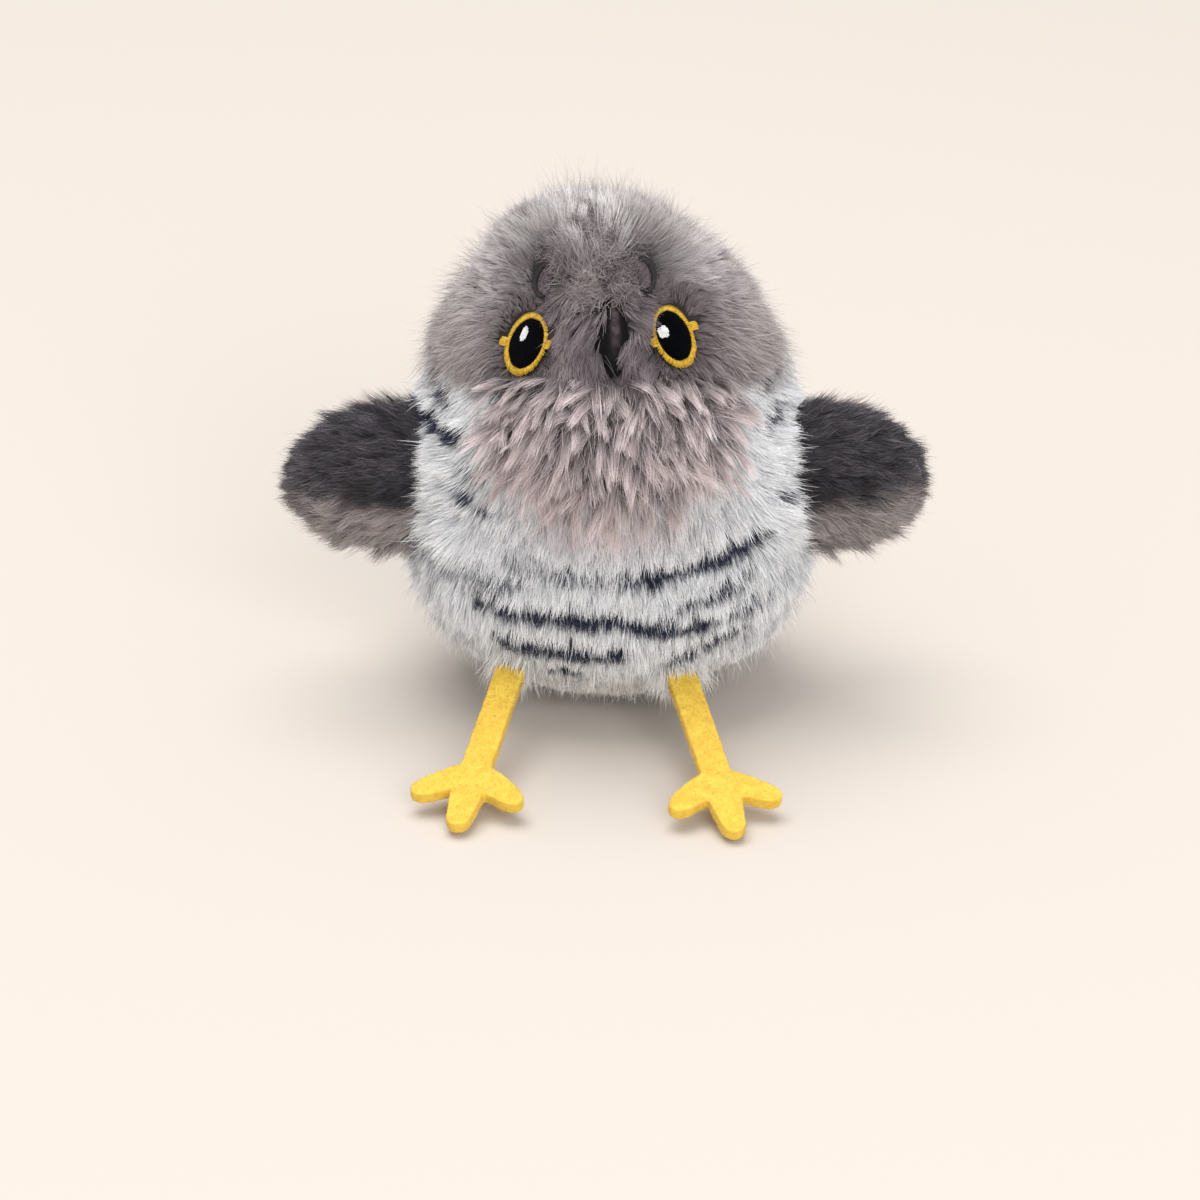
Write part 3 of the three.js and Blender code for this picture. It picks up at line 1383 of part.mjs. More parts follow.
function buildElectrics() {
  const module = root.getObjectByName('module');
  const motorFront = plateBack + runningGap;
  const can = roundedRectangle(motorAxis.x - motorHalfWidth, motorAxis.x + motorHalfWidth,
    motorAxis.y - motorHalfHeight, motorAxis.y + motorHalfHeight, motorHalfHeight);
  const cap = roundedRectangle(
    motorAxis.x - motorHalfWidth + motorCapInset, motorAxis.x + motorHalfWidth - motorCapInset,
    motorAxis.y - motorHalfHeight + motorCapInset, motorAxis.y + motorHalfHeight - motorCapInset,
    motorHalfHeight);
  const canBack = motorFront + motorLength - motorCapLength;
  const motor = cut(
    joined(
      slab(can, motorFront, canBack, 3),
      slab(cap, canBack - weldDepth, motorFront + motorLength, 3),
      rod(motorAxis.x, motorAxis.y, motorBossRadius, plateFront, motorFront + weldDepth, 14),
    ),
    rod(motorAxis.x, motorAxis.y, motorShaftRadius + runningGap,
      plateFront - overcut, motorFront + motorShaftSeat + runningGap, 12),
  );
  addPiece(module, 'motor', motor, 'steel');

  const batteryFront = plateBack + runningGap;
  const batteryEnd = roundedRectangle(batteryFront, batteryFront + batteryThickness,
    batteryBottom, batteryBottom + batteryHeight, batteryCorner);
  const battery = sideSlab(batteryEnd, -batteryHalfWidth, batteryHalfWidth, 2);
  addPiece(module, 'battery', battery, 'batteryWrap');

  const boardBack = boardFront + boardThickness;
  const boardShape = roundedRectangle(
    -boardHalfWidth, boardHalfWidth, boardBottom, boardTop, boardCorner);
  addPiece(module, 'circuit_board', slab(boardShape, boardFront, boardBack, 2), 'board');

  const speakerBottom = housingBottom + housingWall + runningGap;
  const speakerProfile = [
    [0, speakerConeDepth], [speakerRadius - speakerRimWidth, 0], [speakerRadius, 0],
    [speakerRadius, speakerRimHeight], [speakerMagnetRadius, speakerBasketHeight],
    [speakerMagnetRadius, speakerHeight], [0, speakerHeight],
  ].map(([radius, rise]) => new THREE.Vector2(radius, rise));
  const speaker = new THREE.LatheGeometry(speakerProfile, 16);
  speaker.rotateX(Math.PI / 2);
  speaker.translate(0, speakerY, speakerBottom);
  addPiece(module, 'speaker', toSolid(speaker), 'blackPlastic');

  const sensor = rod(sensorX, sensorHeight, sensorRadius, boardFront - runningGap - sensorLength,
    boardFront - runningGap, 12);
  addPiece(module, 'touch_sensor', sensor, 'steel');

  const onBoard = boardBack + runningGap;
  const switchTop = onBoard + switchHeight;
  const tactSwitch = joined(
    block(buttonX - switchHalfSize, buttonX + switchHalfSize, onBoard, switchTop,
      collarHeight - switchHalfSize, collarHeight + switchHalfSize),
    rod(buttonX, collarHeight, switchPlungerRadius, switchTop - weldDepth,
      switchTop + switchPlungerHeight, 12),
  );
  addPiece(module, 'tact_switch', tactSwitch, 'blackPlastic');

  const socketBack = collarBack - socketSetback;
  const socketOuter = roundedRectangle(socketX - socketHalfWidth, socketX + socketHalfWidth,
    collarHeight - socketHalfHeight, collarHeight + socketHalfHeight, socketHalfHeight);
  const mouth = roundedRectangle(
    socketX - socketHalfWidth + socketWall, socketX + socketHalfWidth - socketWall,
    collarHeight - socketHalfHeight + socketWall, collarHeight + socketHalfHeight - socketWall,
    socketHalfHeight);
  const mouthFront = socketBack - socketDepth;
  const tongue = block(socketX - socketHalfWidth + tongueInset,
    socketX + socketHalfWidth - tongueInset, mouthFront - weldDepth, socketBack - tongueSetback,
    collarHeight - tongueHalfThickness, collarHeight + tongueHalfThickness);
  const socket = joined(
    cut(slab(socketOuter, onBoard, socketBack, 2),
      slab(mouth, mouthFront, socketBack + overcut, 2)),
    tongue,
  );
  addPiece(module, 'usb_socket', socket, 'steel');

  const lightBack = collarBack + lightReach;
  addPiece(module, 'charge_light', turned([
    [0, onBoard],
    [lightFootRadius, onBoard],
    [lightFootRadius, onBoard + lightFootHeight],
    [lightRadius, onBoard + lightFootHeight],
    [lightRadius, lightBack - lightDomeHeight],
    [lightDomeRadius, lightBack],
    [0, lightBack],
  ], socketX, collarHeight + lightRise, 10), 'clearPlastic');

  const flangeBack = collarBack - housingWall - runningGap;
  const flangeFront = flangeBack - buttonFlangeThickness;
  const stemFront = switchTop + switchPlungerHeight + runningGap + buttonTravel;
  const button = addGroup('button', buttonX, flangeBack, collarHeight);
  addPiece(button, 'power_button', turned([
    [0, stemFront],
    [switchPlungerRadius, stemFront],
    [switchPlungerRadius, flangeFront],
    [buttonFlangeRadius, flangeFront],
    [buttonFlangeRadius, flangeBack],
    [buttonRadius, flangeBack],
    [buttonRadius, collarBack + buttonRise - buttonEdge],
    [buttonRadius - buttonEdge, collarBack + buttonRise],
    [0, collarBack + buttonRise],
  ], buttonX, collarHeight, 16), 'redPlastic');
}

// A stretch of lead that leaves one place and enters the next along the given ways
function leadStretch(from, fromWay, to, toWay) {
  const pull = leadPull * from.distanceTo(to);
  return new THREE.CubicBezierCurve3(
    from,
    from.clone().addScaledVector(fromWay, pull),
    to.clone().addScaledVector(toWay, -pull),
    to,
  );
}

function lead(...stretches) {
  const path = new THREE.CurvePath();
  stretches.forEach((stretch) => path.add(stretch));
  const section = new THREE.Shape();
  for (let i = 0; i < leadSides; i += 1) {
    const corner = polar(leadRadius, (2 * Math.PI * i) / leadSides);
    section[i === 0 ? 'moveTo' : 'lineTo'](corner.x, corner.y);
  }
  section.closePath();
  const steps = leadSteps * stretches.length;
  return toSolid(new THREE.ExtrudeGeometry(section, { steps, extrudePath: path }));
}

function buildLeads() {
  const module = root.getObjectByName('module');
  const backward = new THREE.Vector3(0, 1, 0);
  const sideways = new THREE.Vector3(1, 0, 0);
  const boardSeat = boardFront - runningGap;

  const cellBack = plateBack + 2 * runningGap + batteryThickness;
  addPiece(module, 'battery_lead', lead(leadStretch(
    new THREE.Vector3(batteryLeadX, cellBack, batteryBottom + batteryLeadRise),
    backward,
    new THREE.Vector3(batteryLeadBoardX, boardSeat, boardTop - batteryLeadDrop),
    backward,
  )), 'leadSleeve');

  const motorBack = plateBack + 2 * runningGap + motorLength;
  const terminalX = motorAxis.x - motorHalfWidth / 2;
  addPiece(module, 'motor_lead', lead(leadStretch(
    new THREE.Vector3(terminalX, motorBack, motorAxis.y),
    backward,
    new THREE.Vector3(terminalX - motorLeadAcross, boardSeat, motorAxis.y + motorLeadRise),
    backward,
  )), 'leadSleeve');

  const notch = new THREE.Vector3(speakerLeadX, (plateFront + plateBack) / 2, speakerLeadHeight);
  addPiece(module, 'speaker_lead', lead(
    leadStretch(
      new THREE.Vector3(speakerRadius + runningGap, speakerY, speakerLeadHeight),
      sideways,
      notch,
      backward,
    ),
    leadStretch(
      notch,
      backward,
      new THREE.Vector3(speakerLeadX, boardSeat, boardBottom + speakerLeadRise),
      backward,
    ),
  ), 'leadSleeve');
}

buildBody();
buildClosure();
buildFace();
buildLegs();
buildWings();
buildHousing();
buildPlate();
buildYoke();
buildGearTrain();
buildElectrics();
buildLeads();

export default root;
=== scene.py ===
"""Looks of a flapping plush bird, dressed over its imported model.

The bird faces -Y and stands on z = 0. Sizes are in millimetres here and turn
into metres where a mesh is made.
"""

import json
import logging
import math
from dataclasses import dataclass, field, replace
from enum import Enum
from typing import Any, Callable, Sequence

import bmesh
import bpy
import numpy as np
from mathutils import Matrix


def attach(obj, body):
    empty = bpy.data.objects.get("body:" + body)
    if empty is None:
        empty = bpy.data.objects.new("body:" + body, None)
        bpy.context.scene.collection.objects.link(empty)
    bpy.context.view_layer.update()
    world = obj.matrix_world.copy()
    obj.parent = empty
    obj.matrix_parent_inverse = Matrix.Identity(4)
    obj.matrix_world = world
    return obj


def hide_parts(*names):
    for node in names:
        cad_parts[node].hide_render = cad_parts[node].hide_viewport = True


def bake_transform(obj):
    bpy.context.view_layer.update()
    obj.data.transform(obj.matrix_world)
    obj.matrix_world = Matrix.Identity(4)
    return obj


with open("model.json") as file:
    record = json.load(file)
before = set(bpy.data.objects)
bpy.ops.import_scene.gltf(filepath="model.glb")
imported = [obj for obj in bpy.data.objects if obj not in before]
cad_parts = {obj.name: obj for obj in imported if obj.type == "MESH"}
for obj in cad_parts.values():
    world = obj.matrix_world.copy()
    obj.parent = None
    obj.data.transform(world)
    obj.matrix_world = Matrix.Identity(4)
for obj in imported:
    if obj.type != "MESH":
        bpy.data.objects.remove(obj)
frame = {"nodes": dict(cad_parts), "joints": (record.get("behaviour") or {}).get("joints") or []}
Array = np.ndarray
Piece, Mesh, Material = bpy.types.Object, bpy.types.Mesh, bpy.types.Material
Tree, Node, Socket = bpy.types.NodeTree, bpy.types.Node, bpy.types.NodeSocket
Choice = Callable[[Array, Array], Array]
MM = 0.001
FLOOR_CLEARANCE = 0.15
CARRIED = "fur_colour"
ACROSS = np.array([1.0, 0.0, 0.0])
DOWN = np.array([0.0, 0.0, -1.0])
log = logging.getLogger("bird")


# Numbers and colours

def linear(colour: str) -> tuple[float, float, float]:
    """Turns a hex colour into linear light.

    Args:
        colour: six hex digits, red first.

    Returns:
        Linear red, green and blue.
    """
    parts = [int(colour[i:i + 2], 16) / 255 for i in (0, 2, 4)]
    red, green, blue = (part / 12.92 if part <= 0.04045 else ((part + 0.055) / 1.055) ** 2.4
                        for part in parts)
    return red, green, blue


def unit(vectors: Array) -> Array:
    """Gives vectors a length of one."""
    return vectors / np.maximum(np.linalg.norm(vectors, axis=-1, keepdims=True), 1e-9)


def step(low: float, high: float, value: Array) -> Array:
    """Rises smoothly from 0 at low to 1 at high."""
    part = np.clip((value - low) / (high - low), 0, 1)
    return part * part * (3 - 2 * part)


def waves(points: Array, size: float, seed: int) -> Array:
    """Smooth noise over space, from seeded plane waves.

    Args:
        points: places, one on each row.
        size: rough distance between its hills.
        seed: choice of the noise.

    Returns:
        One value for each place, mostly between -1 and 1.
    """
    count = 12
    rng = np.random.default_rng(seed)
    ways = unit(rng.normal(size=(count, 3))) * rng.uniform(0.7, 1.4, (count, 1))
    phases = rng.uniform(0, 2 * math.pi, count)
    return np.sin(points @ ways.T * (2 * math.pi / size) + phases).sum(1) / math.sqrt(count)


def along_surface(directions: Array, normals: Array) -> Array:
    """Lays directions flat on a surface.

    Args:
        directions: one direction for all points, or one for each.
        normals: the surface's outward directions.

    Returns:
        Unit directions that lie in the surface.
    """
    directions = np.broadcast_to(directions, normals.shape)
    return unit(directions - (directions * normals).sum(1, keepdims=True) * normals)


def lifted(flat: Array, normals: Array, degrees: float | Array) -> Array:
    """Tilts flat directions out of a surface by an angle."""
    angle = np.radians(np.broadcast_to(degrees, len(flat)))[:, None]
    return flat * np.cos(angle) + normals * np.sin(angle)


# Meshes

def new_object(name: str, data: Any) -> Piece:
    """Puts a mesh, a lamp or a camera into the scene."""
    piece = bpy.data.objects.new(name, data)
    bpy.context.scene.collection.objects.link(piece)
    return piece


def shaped(name: str, points: Array, faces: Sequence[Sequence[int]]) -> Piece:
    """Makes a smooth-shaded object from points in millimetres and faces.

    Args:
        name: the piece's name.
        points: its corners.
        faces: corner numbers of each face, counter-clockwise from outside.

    Returns:
        The new object.
    """
    mesh = bpy.data.meshes.new(name)
    mesh.from_pydata((points * MM).tolist(), [], [list(face) for face in faces])
    mesh.shade_smooth()
    mesh.update()
    return new_object(name, mesh)


def normals_of(points: Array, faces: Array) -> Array:
    """Averages the directions of the quads round each point."""
    corners = points[faces]
    outward = np.cross(corners[:, 2] - corners[:, 0], corners[:, 3] - corners[:, 1])
    total = np.zeros_like(points)
    for corner in range(4):
        np.add.at(total, faces[:, corner], outward)
    return unit(total)


def tube_quads(rows: int, sides: int) -> Array:
    """Numbers the quads between the rings of a closed tube."""
    i, j = np.meshgrid(np.arange(rows - 1), np.arange(sides), indexing="ij")
    low, high, after = i * sides, (i + 1) * sides, (j + 1) % sides
    return np.stack([low + j, low + after, high + after, high + j], -1).reshape(-1, 4)


def points_of(mesh: Mesh) -> Array:
    """Reads a mesh's points in millimetres."""
    points = np.empty(len(mesh.vertices) * 3, np.float32)
    mesh.vertices.foreach_get("co", points)
    return points.reshape(-1, 3) / MM


def place_points(mesh: Mesh, points: Array) -> None:
    """Moves a mesh's points to places in millimetres."""
    mesh.vertices.foreach_set("co", (points * MM).astype(np.float32).ravel())


def edited(piece: Piece, edit: Callable[[bmesh.types.BMesh], Any]) -> None:
    """Edits a piece's mesh by its faces and corners."""
    mesh = bmesh.new()
    mesh.from_mesh(piece.data)
    edit(mesh)
    mesh.to_mesh(piece.data)
    mesh.free()


def applied(source: Piece, name: str) -> Piece:
    """Turns an object with modifiers into a plain one.

    Args:
        source: the object, which is deleted.
        name: the new object's name.

    Returns:
        The plain object.
    """
    depsgraph = bpy.context.evaluated_depsgraph_get()
    mesh = bpy.data.meshes.new_from_object(source.evaluated_get(depsgraph))
    mesh.name = name
    bpy.data.objects.remove(source)
    return new_object(name, mesh)


def paint(piece: Piece, colours: Array) -> None:
    """Stores one linear colour for each point of a piece."""
    layer = piece.data.color_attributes.new(CARRIED, "FLOAT_COLOR", "POINT")
    rgba = np.ones((len(colours), 4), np.float32)
    rgba[:, :3] = colours
    layer.data.foreach_set("color", rgba.ravel())


def store(mesh: Mesh, name: str, values: Array) -> None:
    """Stores a number or a vector for each point of a mesh."""
    kind, entry = ("FLOAT", "value") if values.ndim == 1 else ("FLOAT_VECTOR", "vector")
    layer = mesh.attributes.new(name, kind, "POINT")
    layer.data.foreach_set(entry, values.astype(np.float32).ravel())


# Wiring of node trees

class Wiring:
    """Adds nodes to a tree and links them."""

    def __init__(self, tree: Tree) -> None:
        """Keeps the tree that is wired."""
        self.tree = tree

    def add(self, kind: str, settings: dict[str, Any] | None = None,
            inputs: dict[str | int, Any] | None = None) -> Node:
        """Adds a node, sets its options and feeds its sockets.

        Args:
            kind: the node's type name.
            settings: values of the node's own options.
            inputs: a value or a socket for each input, by name or by number.

        Returns:
            The node.
        """
        node = self.tree.nodes.new(kind)
        for name, value in (settings or {}).items():
            setattr(node, name, value)
        for key, value in (inputs or {}).items():
            self.feed(self.entry(node, key), value)
        return node

    @staticmethod
    def entry(node: Node, key: str | int) -> Socket:
        """Finds a node's input by its number, or by its name among those in use."""
        if isinstance(key, int):
            return node.inputs[key]
        return next(s for s in node.inputs if s.name == key and s.enabled)

    def feed(self, entry: Socket, value: Any) -> None:
        """Links a socket to an input, or sets the input's value."""
        if isinstance(value, Socket):
            self.tree.links.new(value, entry)
        else:
            entry.default_value = value

    def maths(self, operation: str, *values: Any) -> Socket:
        """Calculates with numbers."""
        return self.add("ShaderNodeMath", {"operation": operation},
                        dict(enumerate(values))).outputs[0]

    def vectors(self, operation: str, *values: Any) -> Socket:
        """Calculates with vectors."""
        return self.add("ShaderNodeVectorMath", {"operation": operation},
                        dict(enumerate(values))).outputs[0]

    def scaled(self, vector: Any, factor: Any) -> Socket:
        """Multiplies a vector by a number."""
        return self.add("ShaderNodeVectorMath", {"operation": "SCALE"},
                        {"Vector": vector, "Scale": factor}).outputs[0]

    def ranged(self, *values: Any) -> Socket:
        """Maps a number from one range to another: number, low, high, new low, new high."""
        return self.add("ShaderNodeMapRange", None, dict(enumerate(values))).outputs[0]

    def shape(self, kind: str, **inputs: Any) -> Any:
        """Adds a geometry node.

        Args:
            kind: its type name without the first word.
            inputs: its inputs, with underscores in the place of spaces.

        Returns:
            Its outputs.
        """
        fed = {name.replace("_", " "): value for name, value in inputs.items()}
        return self.add(f"GeometryNode{kind}", None, fed).outputs


def declare(tree: Tree, inputs: dict[str, tuple[str, Any]],
            outputs: dict[str, str]) -> None:
    """Gives a tree its named sockets.

    Args:
        tree: the node tree.
        inputs: kind and first value of each input.
        outputs: kind of each output.
    """
    for name, (kind, value) in inputs.items():
        item = tree.interface.new_socket(name=name, in_out="INPUT", socket_type=f"NodeSocket{kind}")
        if value is not None:
            item.default_value = value
    for name, kind in outputs.items():
        tree.interface.new_socket(name=name, in_out="OUTPUT", socket_type=f"NodeSocket{kind}")


def run_tree(source: Piece, tree: Tree, name: str,
             values: dict[str, Any]) -> Piece:
    """Runs a geometry tree on an object and keeps the plain result.

    Args:
        source: the object that carries the tree, which is deleted.
        tree: the geometry tree.
        name: the new object's name.
        values: values of the tree's named inputs.

    Returns:
        The plain object.
    """
    modifier = source.modifiers.new("nodes", "NODES")
    modifier.node_group = tree
    for item in tree.interface.items_tree:
        if item.in_out == "INPUT" and item.name in values:
            modifier[item.identifier] = values[item.name]
    source.update_tag()
    return applied(source, name)


# Shader groups

class Texture:
    """Shader groups that several finishes share."""

    def __init__(self) -> None:
        """Starts with no group made."""
        self.made: dict[str, Tree] = {}

    def group(self, name: str) -> Tree:
        """Gives a shared group, and builds it at its first use.

        Args:
            name: one of mottle, grain, fibres, weave, ribs, brushed or pile_tone.

        Returns:
            The group's node tree.
        """
        if name not in self.made:
            self.made[name] = bpy.data.node_groups.new(name, "ShaderNodeTree")
            getattr(self, name)(self.made[name])
        return self.made[name]

    @staticmethod
    def opened(tree: Tree, outputs: dict[str, str], **inputs: Any) -> tuple[Wiring, Any, Any]:
        """Declares a group's sockets and adds its two ends.

        Args:
            tree: the group.
            outputs: kind of each output.
            inputs: first value of each input, a number or a colour.

        Returns:
            The wiring, what the group is given and what it gives.
        """
        declare(tree, {name: ("Color" if isinstance(value, tuple) else "Float", value)
                       for name, value in inputs.items()}, outputs)
        wiring = Wiring(tree)
        return (wiring, wiring.add("NodeGroupInput").outputs,
                wiring.add("NodeGroupOutput").inputs)

    @staticmethod
    def noise(wiring: Wiring, scale: Any, detail: float = 3.0,
              stretch: tuple[float, float, float] = (1, 1, 1)) -> Socket:
        """Noise over the object's own space.

        Args:
            wiring: where the nodes go.
            scale: the noise's scale.
            detail: its octaves.
            stretch: its scale along each axis.

        Returns:
            The noise's value.
        """
        place = wiring.add("ShaderNodeTexCoord").outputs["Object"]
        mapping = wiring.add("ShaderNodeMapping", None, {"Vector": place, "Scale": stretch})
        return wiring.add("ShaderNodeTexNoise", None, {
            "Vector": mapping.outputs[0], "Scale": scale, "Detail": detail,
            "Roughness": 0.6}).outputs["Fac"]

    @staticmethod
    def bands(wiring: Wiring, way: str, scale: Any, bend: float, detail: float) -> Socket:
        """Wavy bands over the object's own space."""
        place = wiring.add("ShaderNodeTexCoord").outputs["Object"]
        return wiring.add("ShaderNodeTexWave", {"bands_direction": way}, {
            "Vector": place, "Scale": scale, "Distortion": bend,
            "Detail": detail}).outputs["Fac"]

    @staticmethod
    def emboss(wiring: Wiring, height: Any, start: Any, end: Any) -> None:
        """Gives a group's normal the bump of a height."""
        bump = wiring.add("ShaderNodeBump", None, {
            "Height": height, "Strength": 0.6, "Distance": start["Depth"]})
        wiring.feed(end["Normal"], bump.outputs["Normal"])

    def mottle(self, tree: Tree) -> None:
        """Blends two colours in soft patches with fine speckle."""
        wiring, start, end = self.opened(tree, {"Color": "Color"}, Light=(1, 1, 1, 1),
                                         Dark=(0, 0, 0, 1), Scale=400.0, Speckle=4000.0)
        patches = wiring.maths("MULTIPLY", self.noise(wiring, start["Scale"]), 0.65)
        speckle = wiring.maths("MULTIPLY", self.noise(wiring, start["Speckle"], 2.0), 0.35)
        mix = wiring.add("ShaderNodeMix", {"data_type": "RGBA"}, {
            "Factor": wiring.ranged(wiring.maths("ADD", patches, speckle), 0.36, 0.62, 0.0, 1.0),
            "A": start["Dark"], "B": start["Light"]})
        wiring.feed(end["Color"], next(output for output in mix.outputs if output.enabled))

    def grain(self, tree: Tree) -> None:
        """Fine moulded grain with a roughness that wears in patches."""
        wiring, start, end = self.opened(tree, {"Normal": "Vector", "Roughness": "Float"},
                                         Scale=3000.0, Depth=0.00004, Smooth=0.35, Rough=0.55)
        self.emboss(wiring, self.noise(wiring, start["Scale"], 4.0), start, end)
        worn = wiring.ranged(self.noise(wiring, 140.0), 0.35, 0.65, start["Smooth"], start["Rough"])
        wiring.feed(end["Roughness"], worn)

    def fibres(self, tree: Tree) -> None:
        """Matted fibres that lie in two directions."""
        wiring, start, end = self.opened(tree, {"Normal": "Vector"}, Scale=900.0, Depth=0.0002)
        lying = [self.noise(wiring, start["Scale"], 5.0, stretch)
                 for stretch in ((1.0, 0.25, 0.6), (0.25, 1.0, 0.4))]
        self.emboss(wiring, wiring.maths("MAXIMUM", *lying), start, end)

    def weave(self, tree: Tree) -> None:
        """Crossing yarns of a knitted or woven ground."""
        wiring, start, end = self.opened(tree, {"Normal": "Vector"}, Scale=1500.0, Depth=0.00015)
        yarns = [self.bands(wiring, way, start["Scale"], 1.2, 1.0) for way in ("X", "Z")]
        self.emboss(wiring, wiring.maths("MAXIMUM", *yarns), start, end)

    def ribs(self, tree: Tree) -> None:
        """Twisted plies of a thread."""
        wiring, start, end = self.opened(tree, {"Normal": "Vector"}, Scale=2600.0, Depth=0.00012)
        self.emboss(wiring, self.bands(wiring, "DIAGONAL", start["Scale"], 2.0, 2.0), start, end)

    def brushed(self, tree: Tree) -> None:
        """Fine turning marks round a metal pin."""
        wiring, start, end = self.opened(tree, {"Normal": "Vector", "Roughness": "Float"},
                                         Scale=2000.0, Depth=0.00003)
        marks = self.noise(wiring, start["Scale"], 3.0, (0.15, 1.0, 0.15))
        self.emboss(wiring, marks, start, end)
        wiring.feed(end["Roughness"], wiring.ranged(marks, 0.3, 0.7, 0.22, 0.42))

    def pile_tone(self, tree: Tree) -> None:
        """Varies the colour that strands carry."""
        wiring, start, end = self.opened(tree, {"Color": "Color"}, Low=0.86, High=1.1)
        carried = wiring.add("ShaderNodeAttribute", {"attribute_name": CARRIED})
        tone = wiring.ranged(self.noise(wiring, 1800.0, 2.0), 0.3, 0.7, start["Low"],
                             start["High"])
        wiring.feed(end["Color"], wiring.scaled(carried.outputs["Color"], tone))


class Kind(Enum):
    """What a finish is made of, and the shader group of its relief."""

    PILE = ("pile", "")
    CLOTH = ("cloth", "weave")
    FELT = ("felt", "fibres")
    VELVET = ("velvet", "fibres")
    THREAD = ("thread", "ribs")
    TAPE = ("tape", "weave")
    PLASTIC = ("plastic", "grain")
    CLEAR = ("clear plastic", "grain")
    STEEL = ("steel", "brushed")
    FIBRE = ("fibre", "fibres")


@dataclass(frozen=True)
class Finish:
    """One material: what it is, its two colours and its gloss."""

    name: str
    kind: Kind
    light: str = "808080"
    dark: str = "404040"
    rough: float = 0.8
    smooth: float = 0.35
    sheen: float = 0.0
    gloss: float = 0.5
    scale: float = 400.0

    def material(self, texture: Texture) -> Material:
        """Builds the material.

        Args:
            texture: the shared shader groups.

        Returns:
            The material.
        """
        material = bpy.data.materials.new(self.name)
        material.use_nodes = True
        wiring = Wiring(material.node_tree)
        shader = next(n for n in material.node_tree.nodes if n.type == "BSDF_PRINCIPLED")
        values = {"Roughness": self.rough, "Specular IOR Level": self.gloss}
        if self.sheen:
            values.update({"Sheen Weight": self.sheen, "Sheen Roughness": 0.5})
        if self.kind is Kind.STEEL:
            values["Metallic"] = 1.0
        if self.kind is Kind.CLEAR:
            values["Transmission Weight"] = 0.6
        for name, value in values.items():
            shader.inputs[name].default_value = value
        wiring.feed(shader.inputs["Base Color"], self.colour(wiring, texture))
        self.relief(wiring, texture, shader)
        return material

    def colour(self, wiring: Wiring, texture: Texture) -> Socket:
        """Gives the colour: what the strands carry, or two mottled tones."""
        if self.kind in (Kind.PILE, Kind.CLOTH, Kind.VELVET):
            node = wiring.add("ShaderNodeGroup", {"node_tree": texture.group("pile_tone")})
            return node.outputs["Color"]
        node = wiring.add("ShaderNodeGroup", {"node_tree": texture.group("mottle")}, {
            "Light": (*linear(self.light), 1), "Dark": (*linear(self.dark), 1),
            "Scale": self.scale, "Speckle": 8 * self.scale})
        return node.outputs["Color"]

    def relief(self, wiring: Wiring, texture: Texture, shader: Node) -> None:
        """Adds the bump, and the roughness where it varies."""
        name = self.kind.value[1]
        if not name:
            return
        node = wiring.add("ShaderNodeGroup", {"node_tree": texture.group(name)})
        if name == "grain":
            wiring.feed(node.inputs["Smooth"], self.smooth)
            wiring.feed(node.inputs["Rough"], self.rough)
        for output in node.outputs:
            wiring.feed(shader.inputs[output.name], output)


# Finishes of this bird, by the slot that each belongs to
FINISHES = (
    Finish("grey_plush", Kind.PILE, rough=0.75, sheen=0.15),
    Finish("white_plush", Kind.PILE, rough=0.8, sheen=0.15),
    Finish("bib_plush", Kind.PILE, rough=0.7, sheen=0.15),
    Finish("charcoal_plush", Kind.PILE, rough=0.8, sheen=0.1),
    Finish("ground_cloth", Kind.CLOTH, rough=0.9),
    Finish("fibre_filling", Kind.FIBRE, "f2f2f0", "d9d9d8", rough=0.9, sheen=0.3, scale=300),
    Finish("velvet", Kind.VELVET, rough=0.95, sheen=0.1, gloss=0.2),
    Finish("yellow_felt", Kind.FELT, "e8c54c", "d9af36", rough=0.9, sheen=0.1, scale=350),
    Finish("yellow_fuzz", Kind.PILE, rough=0.85, sheen=0.2),
    Finish("gold_thread", Kind.THREAD, "efc53c", "b98916", rough=0.5, scale=1400),
    Finish("black_thread", Kind.THREAD, "03040a", "010204", rough=0.5, gloss=0.05, scale=900),
    Finish("white_thread", Kind.THREAD, "f6f6f4", "d4d4d6", rough=0.5, scale=900),
    Finish("dark_thread", Kind.THREAD, "2b2226", "120d10", rough=0.6, scale=900),
    Finish("mauve_thread", Kind.THREAD, "74676c", "3d3338", rough=0.7, gloss=0.2, scale=1500),
    Finish("hook_and_loop", Kind.TAPE, "5a5755", "2f2d2c", rough=0.8, scale=900),
    Finish("shell_plastic", Kind.PLASTIC, "e9e6de", "dedad0", rough=0.5, smooth=0.36, scale=60),
    Finish("gear_plastic", Kind.PLASTIC, "f0efe9", "e2e0d6", rough=0.42, smooth=0.3, scale=90),
    Finish("lever_plastic", Kind.PLASTIC, "3b3d42", "2c2e32", rough=0.5, smooth=0.34, scale=90),
    Finish("steel", Kind.STEEL, "c9c9ca", "a8a8aa", rough=0.3, scale=300),
    Finish("board_laminate", Kind.PLASTIC, "2f7d4d", "23653d", rough=0.4, smooth=0.3, scale=260),
    Finish("black_plastic", Kind.PLASTIC, "26262a", "19191c", rough=0.45, smooth=0.3, scale=120),
    Finish("battery_wrap", Kind.PLASTIC, "3f6fb0", "335e99", rough=0.35, smooth=0.25, scale=90),
    Finish("red_plastic", Kind.PLASTIC, "c8352c", "a92b23", rough=0.4, smooth=0.28, scale=120),
    Finish("clear_plastic", Kind.CLEAR, "f4f6f6", "e3e8e8", rough=0.2, smooth=0.1, scale=120),
    Finish("lead_sleeve", Kind.PLASTIC, "b3322b", "8f2620", rough=0.45, smooth=0.35, scale=300),
)


